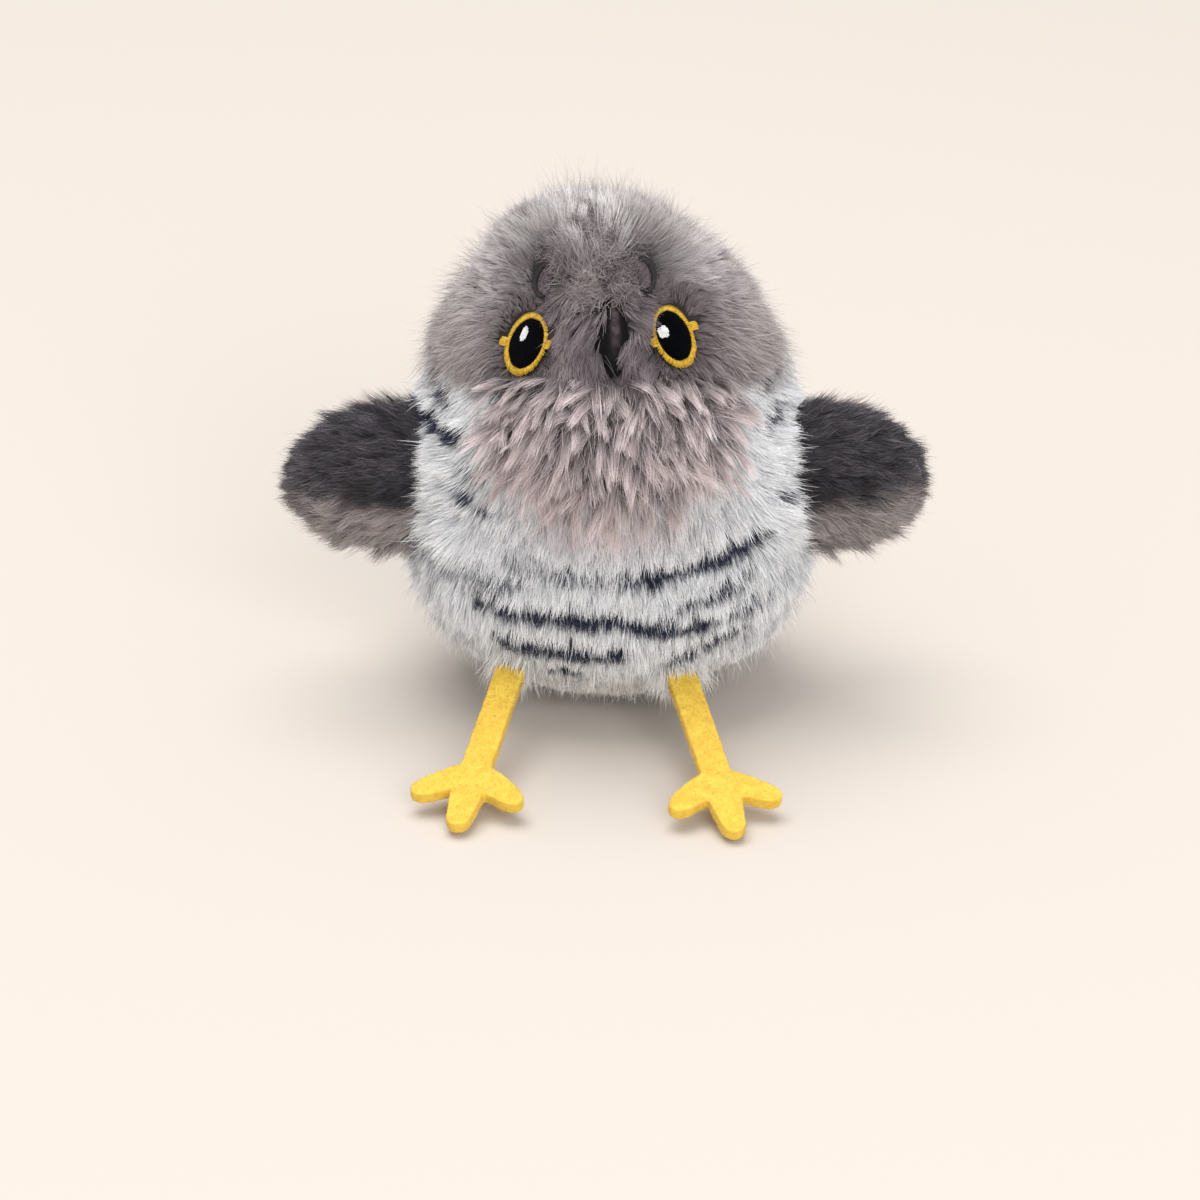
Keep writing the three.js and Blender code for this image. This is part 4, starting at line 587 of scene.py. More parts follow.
class Wardrobe:
    """All materials, made once and handed out by name."""

    def __init__(self) -> None:
        """Builds every finish."""
        texture = Texture()
        self.materials = {finish.name: finish.material(texture) for finish in FINISHES}

    def dress(self, piece: Piece, finish: str, slot: str | None = None) -> None:
        """Gives a new piece its material.

        Args:
            piece: the piece.
            finish: the material's name.
            slot: not used.
        """
        piece.data.materials.clear()
        piece.data.materials.append(self.materials[finish])
        slot or finish

    def fit(self, piece: Piece, finish: str, body: str, *nodes: str,
            slot: str | None = None) -> None:
        """Dresses a rigid or padded piece, puts it on its body and logs it.

        Args:
            piece: the piece.
            finish: the material's name.
            body: the body that it rides on.
            nodes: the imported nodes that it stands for, if any.
            slot: the record's slot, where it has another name.
        """
        self.dress(piece, finish, slot)
        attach(piece, body)
        if nodes:
            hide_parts(*nodes)
        log.info("%s: %d faces", piece.name, len(piece.data.polygons))

    def repaint(self, node: Piece, finish: str) -> None:
        """Gives a CAD node a better material."""
        if not node.material_slots:
            node.data.materials.append(self.materials[finish])
        for slot in node.material_slots:
            slot.material = self.materials[finish]


# Pile

@dataclass(frozen=True)
class PileStyle:
    """How the strands of one patch of fur look."""

    density: float = 8.0
    width: float = 0.32
    segments: int = 3
    spread: float = 0.25
    roll: float = 40.0
    clump_spacing: float = 3.0
    clump_pull: float = 0.35
    clump_lean: float = 0.12
    clump_length: float = 0.12
    clump_tone: float = 0.1
    shade: float = 0.8
    unevenness: float = 0.11
    curl: float = 0.3
    seed: int = 1


class PileTree:
    """Geometry nodes that grow flat tapered strands from a surface.

    The surface carries comb_root and comb_tip, the strands' directions at
    their two ends, and pile, their length.
    """

    TAPER = 0.88
    SHORTEST = 0.72
    LONGEST = 1.18

    def __init__(self) -> None:
        """Builds the tree."""
        self.tree = bpy.data.node_groups.new("pile", "GeometryNodeTree")
        numbers = ("Density", "Width", "Spread", "Roll", "Clump Density", "Clump Pull",
                   "Clump Lean", "Clump Length", "Curl")
        declare(self.tree, {
            "Geometry": ("Geometry", None), **{name: ("Float", 0.0) for name in numbers},
            "Segments": ("Int", 3), "Seed": ("Int", 1), "Finish": ("Material", None),
        }, {"Geometry": "Geometry"})
        self.wiring = Wiring(self.tree)
        self.start = self.wiring.add("NodeGroupInput").outputs
        self.build()

    def named(self, name: str, kind: str = "FLOAT_VECTOR") -> Socket:
        """Reads an attribute."""
        node = self.wiring.add("GeometryNodeInputNamedAttribute", {"data_type": kind},
                               {"Name": name})
        return node.outputs["Attribute"]

    def random(self, low: Any, high: Any, seed: int, of: Any = None) -> Socket:
        """A seeded random number, or vector where the ends are vectors.

        Args:
            low: the least value.
            high: the greatest value.
            seed: choice of the numbers.
            of: the same value for all points that share this number.

        Returns:
            The random value.
        """
        vector = isinstance(low, tuple)
        node = self.wiring.add(
            "FunctionNodeRandomValue", {"data_type": "FLOAT_VECTOR" if vector else "FLOAT"},
            {"Min": low, "Max": high, "Seed": seed, **({"ID": of} if of else {})})
        return next(output for output in node.outputs if output.enabled)

    def stored(self, geometry: Any, name: str, value: Any,
               kind: str = "FLOAT_VECTOR") -> Socket:
        """Keeps a value on the points under a name."""
        node = self.wiring.add("GeometryNodeStoreNamedAttribute", {"data_type": kind},
                               {"Geometry": geometry, "Name": name, "Value": value})
        return node.outputs["Geometry"]

    def blade(self) -> Socket:
        """A strand of length one along Z, which narrows to its tip."""
        wiring = self.wiring
        rows = wiring.maths("ADD", self.start["Segments"], 1)
        sheet = wiring.shape("MeshGrid", Size_X=1.0, Size_Y=1.0, Vertices_X=2, Vertices_Y=rows)
        place = wiring.shape("InputPosition")[0]
        split = wiring.add("ShaderNodeSeparateXYZ", None, {0: place}).outputs
        part = wiring.maths("ADD", split["Y"], 0.5)
        fall = wiring.maths("MULTIPLY", wiring.maths("POWER", part, 1.6), self.TAPER)
        across = wiring.maths("MULTIPLY", split["X"], wiring.maths("SUBTRACT", 1.0, fall))
        upright = wiring.add("ShaderNodeCombineXYZ", None, {"X": across, "Y": 0.0, "Z": part})
        marked = self.stored(sheet["Mesh"], "along", part, "FLOAT")
        return wiring.shape("SetPosition", Geometry=marked, Position=upright.outputs[0])[0]

    def build(self) -> None:
        """Wires the whole tree."""
        wiring, start = self.wiring, self.start
        surface = start["Geometry"]
        scatter = wiring.shape("DistributePointsOnFaces", Mesh=surface, Density=start["Density"],
                               Seed=start["Seed"])
        clumps = wiring.shape("DistributePointsOnFaces", Mesh=surface,
                              Density=start["Clump Density"],
                              Seed=wiring.maths("ADD", start["Seed"], 50))["Points"]
        place = wiring.shape("InputPosition")[0]
        clump = wiring.shape("SampleNearest", Geometry=clumps, Sample_Position=place)["Index"]
        centre = wiring.add("GeometryNodeSampleIndex", {"data_type": "FLOAT_VECTOR"}, {
            "Geometry": clumps, "Value": place, "Index": clump}).outputs[0]
        pull = wiring.scaled(wiring.vectors("SUBTRACT", centre, place), start["Clump Pull"])
        least, most = (-1, -1, -1), (1, 1, 1)
        wild = wiring.scaled(self.random(least, most, 11), start["Spread"])
        lean = wiring.scaled(self.random(least, most, 15, clump), start["Clump Lean"])
        way = wiring.vectors("ADD", wiring.vectors("ADD", self.named("comb_root"), wild), lean)
        way = wiring.vectors("NORMALIZE", way)
        length = wiring.maths("MULTIPLY", self.named("pile", "FLOAT"),
                              self.random(self.SHORTEST, self.LONGEST, 12))
        longer = wiring.maths("MULTIPLY", self.random(-1.0, 1.0, 16, clump),
                              start["Clump Length"])
        length = wiring.maths("MULTIPLY", length, wiring.maths("ADD", 1.0, longer))
        bow = wiring.scaled(
            wiring.vectors("SUBTRACT", self.named("comb_tip"), self.named("comb_root")),
            wiring.maths("MULTIPLY", length, 0.5))
        points = self.stored(scatter["Points"], "bow", bow)
        points = self.stored(points, "pull", pull)
        points = self.stored(points, "clump", self.random(-1.0, 1.0, 17, clump), "FLOAT")
        upright = wiring.add("FunctionNodeAxesToRotation",
                             {"primary_axis": "Z", "secondary_axis": "Y"},
                             {"Primary Axis": way, "Secondary Axis": scatter["Normal"]})
        turn = wiring.maths("MULTIPLY", self.random(-1.0, 1.0, 13), start["Roll"])
        roll = wiring.add("FunctionNodeAxisAngleToRotation", None,
                          {"Axis": (0, 0, 1), "Angle": turn})
        rotation = wiring.add("FunctionNodeRotateRotation", {"rotation_space": "LOCAL"}, {
            "Rotation": upright.outputs[0], "Rotate By": roll.outputs[0]}).outputs[0]
        width = wiring.maths("MULTIPLY", start["Width"], self.random(0.7, 1.3, 14))
        size = wiring.add("ShaderNodeCombineXYZ", None, {"X": width, "Y": width, "Z": length})
        strands = wiring.shape("InstanceOnPoints", Points=points, Instance=self.blade(),
                               Rotation=rotation, Scale=size.outputs[0])["Instances"]
        real = wiring.shape("RealizeInstances", Geometry=strands)["Geometry"]
        along = self.named("along", "FLOAT")
        offset = wiring.scaled(self.named("bow"), wiring.maths("MULTIPLY", along, along))
        gathered = wiring.scaled(self.named("pull"), wiring.maths("POWER", along, 1.4))
        matting = wiring.add("ShaderNodeTexNoise", None, {
            "Vector": place, "Scale": 260.0, "Detail": 2.0})
        swirl = wiring.vectors("SUBTRACT", matting.outputs["Color"], (0.5, 0.5, 0.5))
        swirl = wiring.scaled(swirl, wiring.maths("MULTIPLY", along, start["Curl"]))
        offset = wiring.vectors("ADD", wiring.vectors("ADD", offset, gathered), swirl)
        bent = wiring.shape("SetPosition", Geometry=real, Offset=offset)["Geometry"]
        finished = wiring.shape("SetMaterial", Geometry=bent, Material=start["Finish"])
        wiring.feed(wiring.add("NodeGroupOutput").inputs["Geometry"], finished["Geometry"])

    def grow(self, name: str, host: "Host", style: PileStyle,
             material: Material) -> tuple[Array, Array, Array]:
        """Grows strands on a surface.

        Args:
            name: the new piece's name.
            host: the surface with its directions and lengths.
            style: how the strands look.
            material: their material.

        Returns:
            The points as strand, place along it and x y z in millimetres, how
            far along its strand each point is, and a random number from -1 to
            1 that the strands of one clump share.
        """
        source = shaped(f"{name}_host", host.points, host.faces)
        store(source.data, "comb_root", host.comb_root)
        store(source.data, "comb_tip", host.comb_tip)
        store(source.data, "pile", host.pile * MM)
        piece = run_tree(source, self.tree, name, {
            "Density": style.density * 1e6, "Width": style.width * MM,
            "Segments": style.segments, "Spread": style.spread,
            "Roll": math.radians(style.roll),
            "Clump Density": 1e6 / style.clump_spacing ** 2, "Clump Pull": style.clump_pull,
            "Clump Lean": style.clump_lean, "Clump Length": style.clump_length,
            "Curl": style.curl * MM, "Seed": style.seed, "Finish": material})
        corners = 2 * (style.segments + 1)
        points = points_of(piece.data)
        along, clump = np.empty((2, len(points)), np.float32)
        for name, values in (("along", along), ("clump", clump)):
            piece.data.attributes[name].data.foreach_get("value", values)
        bpy.data.objects.remove(piece)
        return points.reshape(-1, corners, 3), along[:corners], clump[::corners]


@dataclass
class Host:
    """A surface that strands grow on, in millimetres."""

    points: Array
    faces: Array
    comb_root: Array
    comb_tip: Array
    pile: Array


@dataclass(frozen=True)
class Tints:
    """Colour of strands at their root and their tip, one row for each strand."""

    root: Array
    tip: Array

    @staticmethod
    def plain(count: int, root: str, tip: str) -> "Tints":
        """The same two colours for all strands."""
        return Tints(np.tile(linear(root), (count, 1)), np.tile(linear(tip), (count, 1)))

    @staticmethod
    def alike(root: str, tip: str) -> Callable[[Array, Array], "Tints"]:
        """Says that a whole patch of strands has the same two colours."""
        return lambda roots, middles: Tints.plain(len(roots), root, tip)

    def towards(self, share: Array, root: str, tip: str) -> "Tints":
        """Blends towards two other colours by a share for each strand."""
        return self.mixed(share, Tints(np.array([linear(root)]), np.array([linear(tip)])))

    def mixed(self, share: Array, other: "Tints") -> "Tints":
        """Blends towards other tints by a share for each strand."""
        part = share[:, None]
        return Tints(self.root * (1 - part) + other.root * part,
                     self.tip * (1 - part) + other.tip * part)


@dataclass
class Fur:
    """Grows patches of fur and colours them strand by strand."""

    wardrobe: Wardrobe
    tree: PileTree = field(default_factory=PileTree)
    strands: int = 0

    def patch(self, name: str, host: Host, style: PileStyle, slot: str, kept: Choice,
              tinted: Callable[[Array, Array], Tints]) -> Piece:
        """Makes one piece of fur.

        Args:
            name: the piece's name.
            host: the surface it grows on.
            style: how its strands look.
            slot: the finish.
            kept: says which strands stay, from their roots and middles.
            tinted: gives the strands' colours, from their roots and middles.

        Returns:
            The piece.
        """
        material = self.wardrobe.materials[slot]
        points, along, clump = self.tree.grow(name, host, style, material)
        root = points[:, along < 0.01].mean(1)
        middle = points[:, np.abs(along - 0.66) < 0.2].mean(1)
        chosen = kept(root, middle)
        points, root, middle, clump = (part[chosen] for part in (points, root, middle, clump))
        points[..., 2] = np.maximum(points[..., 2], FLOOR_CLEARANCE)
        piece = self.woven(name, points, style.segments)
        rng = np.random.default_rng(style.seed)
        tints = tinted(root, middle)
        tone = rng.normal(1.0, style.unevenness, len(root)) + style.clump_tone * clump
        # Each strand runs from its root colour to its tip colour. The darker roots are painted
        # shade deep in the pile.
        share = np.clip(along, 0, 1)[None, :, None] ** style.shade
        colours = tints.root[:, None] * (1 - share) + tints.tip[:, None] * share
        colours = np.clip(colours * tone[:, None, None], 0, 0.95)
        paint(piece, colours.reshape(-1, 3))
        self.wardrobe.dress(piece, slot)
        self.strands += len(root)
        log.info("%s: %d strands", name, len(root))
        return piece

    def woven(self, name: str, points: Array, segments: int) -> Piece:
        """Builds the mesh of many strands, with a place for each in the bake.

        Args:
            name: the piece's name.
            points: strands by points along them, in millimetres.
            segments: faces on one strand.

        Returns:
            The object.
        """
        count, corners = points.shape[:2]
        rows = segments + 1
        blade = np.array([[i, i + rows, i + rows + 1, i + 1] for i in range(segments)])
        faces = (blade[None] + corners * np.arange(count)[:, None, None]).reshape(-1, 4)
        mesh = bpy.data.meshes.new(name)
        mesh.vertices.add(count * corners)
        mesh.vertices.foreach_set("co", (points * MM).astype(np.float32).ravel())
        mesh.loops.add(len(faces) * 4)
        mesh.loops.foreach_set("vertex_index", faces.astype(np.int32).ravel())
        mesh.polygons.add(len(faces))
        mesh.polygons.foreach_set("loop_start", np.arange(0, len(faces) * 4, 4, dtype=np.int32))
        mesh.update(calc_edges=True)
        mesh.shade_smooth()
        self.lay_out(mesh, count, segments)
        return new_object(name, mesh)

    @staticmethod
    def lay_out(mesh: Mesh, count: int, segments: int) -> None:
        """Gives each strand a cell of its own in the bake's UV map."""
        side = max(1, math.ceil(math.sqrt(count)))
        cell = np.arange(count)
        left = (cell % side)[:, None, None] / side
        low = (cell // side)[:, None, None] / side
        across = np.array([0.15, 0.85, 0.85, 0.15])[None, None] / side
        up = np.array([[i, i, i + 1, i + 1] for i in range(segments)])[None] / segments
        u = np.broadcast_to(left + across, (count, segments, 4))
        v = low + (0.1 + 0.8 * up) / side
        layer = mesh.uv_layers.new(name="OFBake")
        layer.data.foreach_set("uv", np.stack([u, v], -1).astype(np.float32).ravel())


# The plush body

@dataclass(frozen=True)
class BodyForm:
    """The egg that the plush body is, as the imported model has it."""

    half_width: float = 49.0
    half_depth: float = 41.5
    waist: float = 42.0
    crown: float = 126.0
    base_cut: float = 0.5
    upper_power: float = 2.05
    lower_power: float = 2.2
    head_lean: float = 4.0
    rings: int = 96
    sides: int = 144
    ring_end: float = 0.004

    def half(self, upper: Array, outset: float | Array = 0.0) -> tuple[Array, Array]:
        """Reach from the waist and roundness of the upper or the lower half."""
        reach = np.where(upper, self.crown - self.waist, self.waist + self.base_cut) + outset
        return reach, np.where(upper, self.upper_power, self.lower_power)

    def lean(self, z: Array) -> Array:
        """How far the head has moved sideways at a height."""
        rise = np.maximum(0, z - self.waist) / (self.crown - self.waist)
        return -self.head_lean * rise * rise

    def share(self, z: Array, outset: float | Array = 0.0) -> Array:
        """Share of the full width that is left at a height."""
        reach, power = self.half(z > self.waist, outset)
        rise = np.minimum(1, np.abs(z - self.waist) / reach)
        return (1 - rise ** power) ** (1 / power)

    def front(self, x: Array, z: Array, outset: float | Array = 0.0) -> Array:
        """Places on the front of the body.

        Args:
            x: distances across.
            z: heights.
            outset: distance out from the cloth.

        Returns:
            One place on each row.
        """
        x, z, outset = np.broadcast_arrays(x, z, outset)
        across = (x - self.lean(z)) / (self.half_width + outset)
        depth = np.sqrt(np.maximum(0, self.share(z, outset) ** 2 - across ** 2))
        return np.stack([x, -(self.half_depth + outset) * depth, z], -1)

    def outward(self, points: Array) -> Array:
        """Directions straight out of the body at places near its surface."""
        x, y, z = points.T
        reach, power = self.half(z > self.waist)
        across = x - self.lean(z)
        width = np.sqrt((across / self.half_width) ** 2 + (y / self.half_depth) ** 2)
        steep = power * np.maximum(width, 1e-6) ** (power - 2)
        by_x = steep * across / self.half_width ** 2
        by_y = steep * y / self.half_depth ** 2
        rise = np.minimum(1, np.abs(z - self.waist) / reach)
        by_z = power * rise ** (power - 1) * np.sign(z - self.waist) / reach
        head = self.crown - self.waist
        by_z += by_x * 2 * self.head_lean * np.maximum(0, z - self.waist) / head ** 2
        return unit(np.stack([by_x, by_y, by_z], 1))

    def azimuth(self, points: Array) -> Array:
        """Angle round the body in degrees: 0 in front, positive on the bird's left."""
        x, y, z = points.T
        return np.degrees(np.arctan2(x - self.lean(z), -y * self.half_width / self.half_depth))

    def grid(self, outset: float) -> tuple[Array, Array]:
        """Points and quads over the whole body, but for a tiny hole at each end."""
        turn = np.linspace(0, 2 * math.pi, self.sides, endpoint=False)
        steepest = math.pi / 2 - self.ring_end
        tilt = np.linspace(-steepest, steepest, self.rings)[:, None]
        reach, power = self.half(tilt > 0, outset)
        power = 2 / power
        wide = np.cos(tilt) ** power
        z = self.waist + reach * np.sign(tilt) * np.abs(np.sin(tilt)) ** power
        x = (self.half_width + outset) * wide * np.sin(turn) + self.lean(z)
        y = -(self.half_depth + outset) * wide * np.cos(turn)
        z = np.broadcast_to(z, x.shape)
        points = np.stack([x, y, z], -1).reshape(-1, 3)
        return points, tube_quads(self.rings, self.sides)


@dataclass(frozen=True)
class Panels:
    """Where the body's panels and openings lie."""

    form: BodyForm = BodyForm()
    hood_seam: float = 81.0
    hood_slope: float = 0.3
    hood_drop: float = 21.0
    back_seam: float = 16.0
    bib_height: float = 84.0
    bib_half_width: float = 25.5
    bib_half_height: float = 15.0
    bib_over_hood: float = 3.0
    closure_half_width: float = 17.0
    closure_bottom: float = 31.5
    closure_top: float = 59.5
    closure_gap: float = 0.35

    def hood(self, points: Array) -> Array:
        """Says which places lie on the hood and the back panel."""
        _, y, z = points.T
        front = (y < 0) & (z > self.hood_seam - self.hood_slope * y)
        foot = self.hood_seam - self.hood_drop
        inside = (y / self.back_seam) ** 2 + (np.maximum(0, z - foot) / self.hood_drop) ** 2
        return front | ((y >= 0) & (inside > 1))

    def bib(self, points: Array) -> Array:
        """Says which places lie on the bib."""
        x, y, z = points.T
        oval = (np.abs(x / self.bib_half_width) ** 3
                + np.abs((z - self.bib_height) / self.bib_half_height) ** 3)
        return (y < 0) & (oval < 1) & ~self.hood(points - np.array([0, 0, self.bib_over_hood]))

    def closure(self, points: Array, grow: float = 0.0) -> Array:
        """Says which places lie on the closure flap."""
        x, y, z = points.T
        return ((y > 0) & (np.abs(x) < self.closure_half_width + grow)
                & (z > self.closure_bottom - grow) & (z < self.closure_top + grow))


@dataclass(frozen=True)
class Stripe:
    """A dark band printed on the pile, by angle round the body and height."""

    course: tuple[tuple[float, float], ...]
    half: float = 1.8
    strength: float = 1.0

    def share(self, angle: Array, height: Array, shaky: Array) -> Array:
        """How much each strand belongs to the band.

        Args:
            angle: strands' angles round the body.
            height: strands' heights.
            shaky: a random number of millimetres for each strand.

        Returns:
            0 outside the band and its strength inside.
        """
        angles, heights = np.array(self.course).T
        middle = np.interp(angle, angles, heights)
        ends = np.minimum(angle - angles[0], angles[-1] - angle)
        narrow = (self.half + 0.25) * np.clip(ends / 7 + 0.35, 0, 1)
        inside = np.abs(height - middle + shaky) < narrow
        return np.where((ends > -1.5) & inside, self.strength, 0.0)


STRIPES = (
    Stripe(((-30, 48.4), (-13, 46.4), (-2, 45.2), (8, 45.8)), 1.2, 0.45),
    Stripe(((4, 45.2), (21, 46.6)), 1.9, 0.9),
    Stripe(((22, 47.3), (36, 49.2), (50, 51.2)), 2.2, 1.5),
    Stripe(((-41, 35.6), (-32, 35.3), (-19, 34.6), (-6, 35), (4, 34.4), (13, 31.6), (24, 31.4),
            (32, 32.6)), 1.7, 1.1),
    Stripe(((33, 32.8), (42, 33.6), (50, 35)), 0.7, 0.8),
    Stripe(((-36, 26.6), (-24, 25.4), (-12, 25.2), (-3, 24.2), (6, 25.2)), 1.8, 1.1),
    Stripe(((-20, 18.4), (-10, 18.2)), 1.3, 1.3),
    Stripe(((18, 37.2), (29, 39.1), (43, 42.6)), 0.9, 1.0),
    Stripe(((16, 21.6), (30, 24.8), (44, 28.6)), 1.1, 0.9),
    Stripe(((-82, 44), (-60, 41.7), (-37, 40.5), (-24, 43.7)), 1.5, 0.4),
    Stripe(((-84, 77), (-68, 75.6), (-45, 74.7)), 1.5, 1.0),
    Stripe(((-78, 86), (-68, 84.3), (-57, 80.8)), 1.3, 0.9),
    Stripe(((-48, 68), (-38, 66.8)), 1.0, 0.8),
    Stripe(((-50, 63), (-42, 61.4), (-35, 59.6)), 1.2, 0.8),
    Stripe(((58, 85), (65, 85.5), (80, 87)), 1.4, 0.8),
    Stripe(((54, 76), (60, 77.6), (70, 80)), 1.3, 0.8),
    Stripe(((56, 58), (62, 58), (76, 62)), 1.3, 0.5),
)


@dataclass
class Coat:
    """Colours of the fur by place."""

    form: BodyForm
    panels: Panels
    face: "Face"

    def hood(self, root: Array, middle: Array) -> Tints:
        """Grey hood: pale at its rim, mauve on the face, with painted shade in the hollows of the
        face.
        """
        tints = Tints.plain(len(root), "70655f", "b9afab")
        crown = step(104, 117, root[:, 2] + 0.2 * np.abs(root[:, 0])) * step(12, -6, root[:, 1])
        tints = tints.towards(crown, "bcb4b0", "f3efed")
        low = step(104, 84, root[:, 2]) * 0.7 + 0.35 * waves(root, 12, 5)
        tints = tints.towards(np.clip(low, 0, 1), "574b48", "a0948f")
        x, y, z = root.T
        front = (y < 0).astype(float)
        face = np.exp(-((x + 1) / 31) ** 4 - ((z - 100) / 17) ** 4)
        tints = tints.towards(0.9 * face * front, "42363a", "93858a")
        tints = tints.towards(np.clip(0.35 * waves(root, 7, 36), 0, 1) * front, "2f2628", "7a6d70")
        # Painted shade in the hollows round the beak, the eyes and the brows.
        tints = tints.towards(self.face.hollow_shade(root) * front, "150f12", "4c4045")
        cheek = step(27, 30, np.abs(x) + 1.5 * waves(root, 4, 6)) * step(14, 6, y)
        below = step(88.5, 86.5, middle[:, 2] + 1.2 * waves(root, 2.5, 7))
        rim = 0.25 * step(24, 36, np.abs(x)) * step(88, 100, z) * front
        tints = tints.towards(rim, "8d8783", "d3cdc9")
        return tints.mixed(cheek * below, self.white(root, middle))

    def fuzz(self, root: Array, middle: Array) -> Tints:
        """Matted fuzz between the brows, with painted shade in the hollows."""
        tints = Tints.plain(len(root), "473c3f", "aea3a3")
        return tints.towards(0.75 * self.face.hollow_shade(root), "231a1d", "6a5d61")

    def bib(self, root: Array, middle: Array) -> Tints:
        """Pinkish bib tufts whose dark roots are painted shade in the gaps between them."""
        tints = Tints.plain(len(root), "2c2022", "f5e4e3")
        patchy = np.clip(0.1 + 0.5 * waves(root, 8, 8), 0, 1)
        tints = tints.towards(0.5 * patchy, "2a2021", "b5a3a2")
        return tints.towards(0.3 * step(79, 71, root[:, 2]), "2f2422", "a08e8a")

    def white(self, root: Array, middle: Array) -> Tints:
        """White belly and cheeks with dark ragged stripes."""
        count = len(root)
        tints = Tints.plain(count, "aeb2ba", "ffffff")
        low = step(36, 8, root[:, 2])
        tints = tints.towards(0.8 * low, "b5aea5", "f6f2ea")
        tints = tints.towards(np.clip(0.25 * waves(root, 9, 3), 0, 1), "8f9096", "d3d4d9")
        x, y, z = root.T
        blush = np.exp(-(x / 19) ** 2 - ((z - 61) / 7) ** 2) * (y < 0)
        tints = tints.towards(0.6 * blush, "9c898b", "e9d9d9")
        rng = np.random.default_rng(21)
        shaky = rng.normal(0, 0.3, count) + 0.5 * waves(root, 3.0, 9)
        angle = self.form.azimuth(middle)
        chance = rng.uniform(0, 1, count)
        broken = np.clip(1.3 + 0.3 * waves(root, 14, 12), 0.6, 1.5)
        for stripe in STRIPES:
            share = stripe.share(angle, middle[:, 2], shaky) * broken
            struck = (chance < share) * np.clip(0.8 + 0.2 * share, 0, 1)
            tints = tints.towards(struck, "040811", "0e1c3c")
        return tints

    def wisp(self, root: Array, middle: Array) -> Tints:
        """Long thin hairs between the white ones, some of them grey."""
        chance = np.random.default_rng(22).uniform(0, 1, len(root))
        return self.white(root, middle).towards(0.7 * (chance < 0.4), "56565e", "8b8c94")

    def cloth(self, points: Array) -> Array:
        """Ground colour under the fur at each place: each panel's root colour, darkened further as
        painted shade under the pile.
        """
        white = self.white(points, points).root * 0.9
        hood = self.hood(points, points).root * 0.8
        bib = self.bib(points, points).root * 0.8
        hooded = (self.panels.hood(points) | self.panels.closure(points, 3))[:, None]
        return np.where(hooded, hood, np.where(self.panels.bib(points)[:, None], bib, white))


def doubled(points: Array, faces: list[list[int]], outward: Array,
            depth: float) -> tuple[Array, list[list[int]]]:
    """Turns an open sheet into a closed panel of even thickness.

    Args:
        points: the outer side's points.
        faces: the outer side's faces.
        outward: directions out of the sheet.
        depth: the panel's thickness.

    Returns:
        Points and faces of the closed panel.
    """
    count = len(points)
    borders: dict[tuple[int, int], bool] = {}
    for face in faces:
        for a, b in zip(face, face[1:] + face[:1]):
            borders[(a, b)] = (b, a) not in borders or not borders.pop((b, a))
    inner = [[corner + count for corner in reversed(face)] for face in faces]
    rims = [[b, a, a + count, b + count] for a, b in borders]
    return np.vstack([points, points - outward * depth]), faces + inner + rims


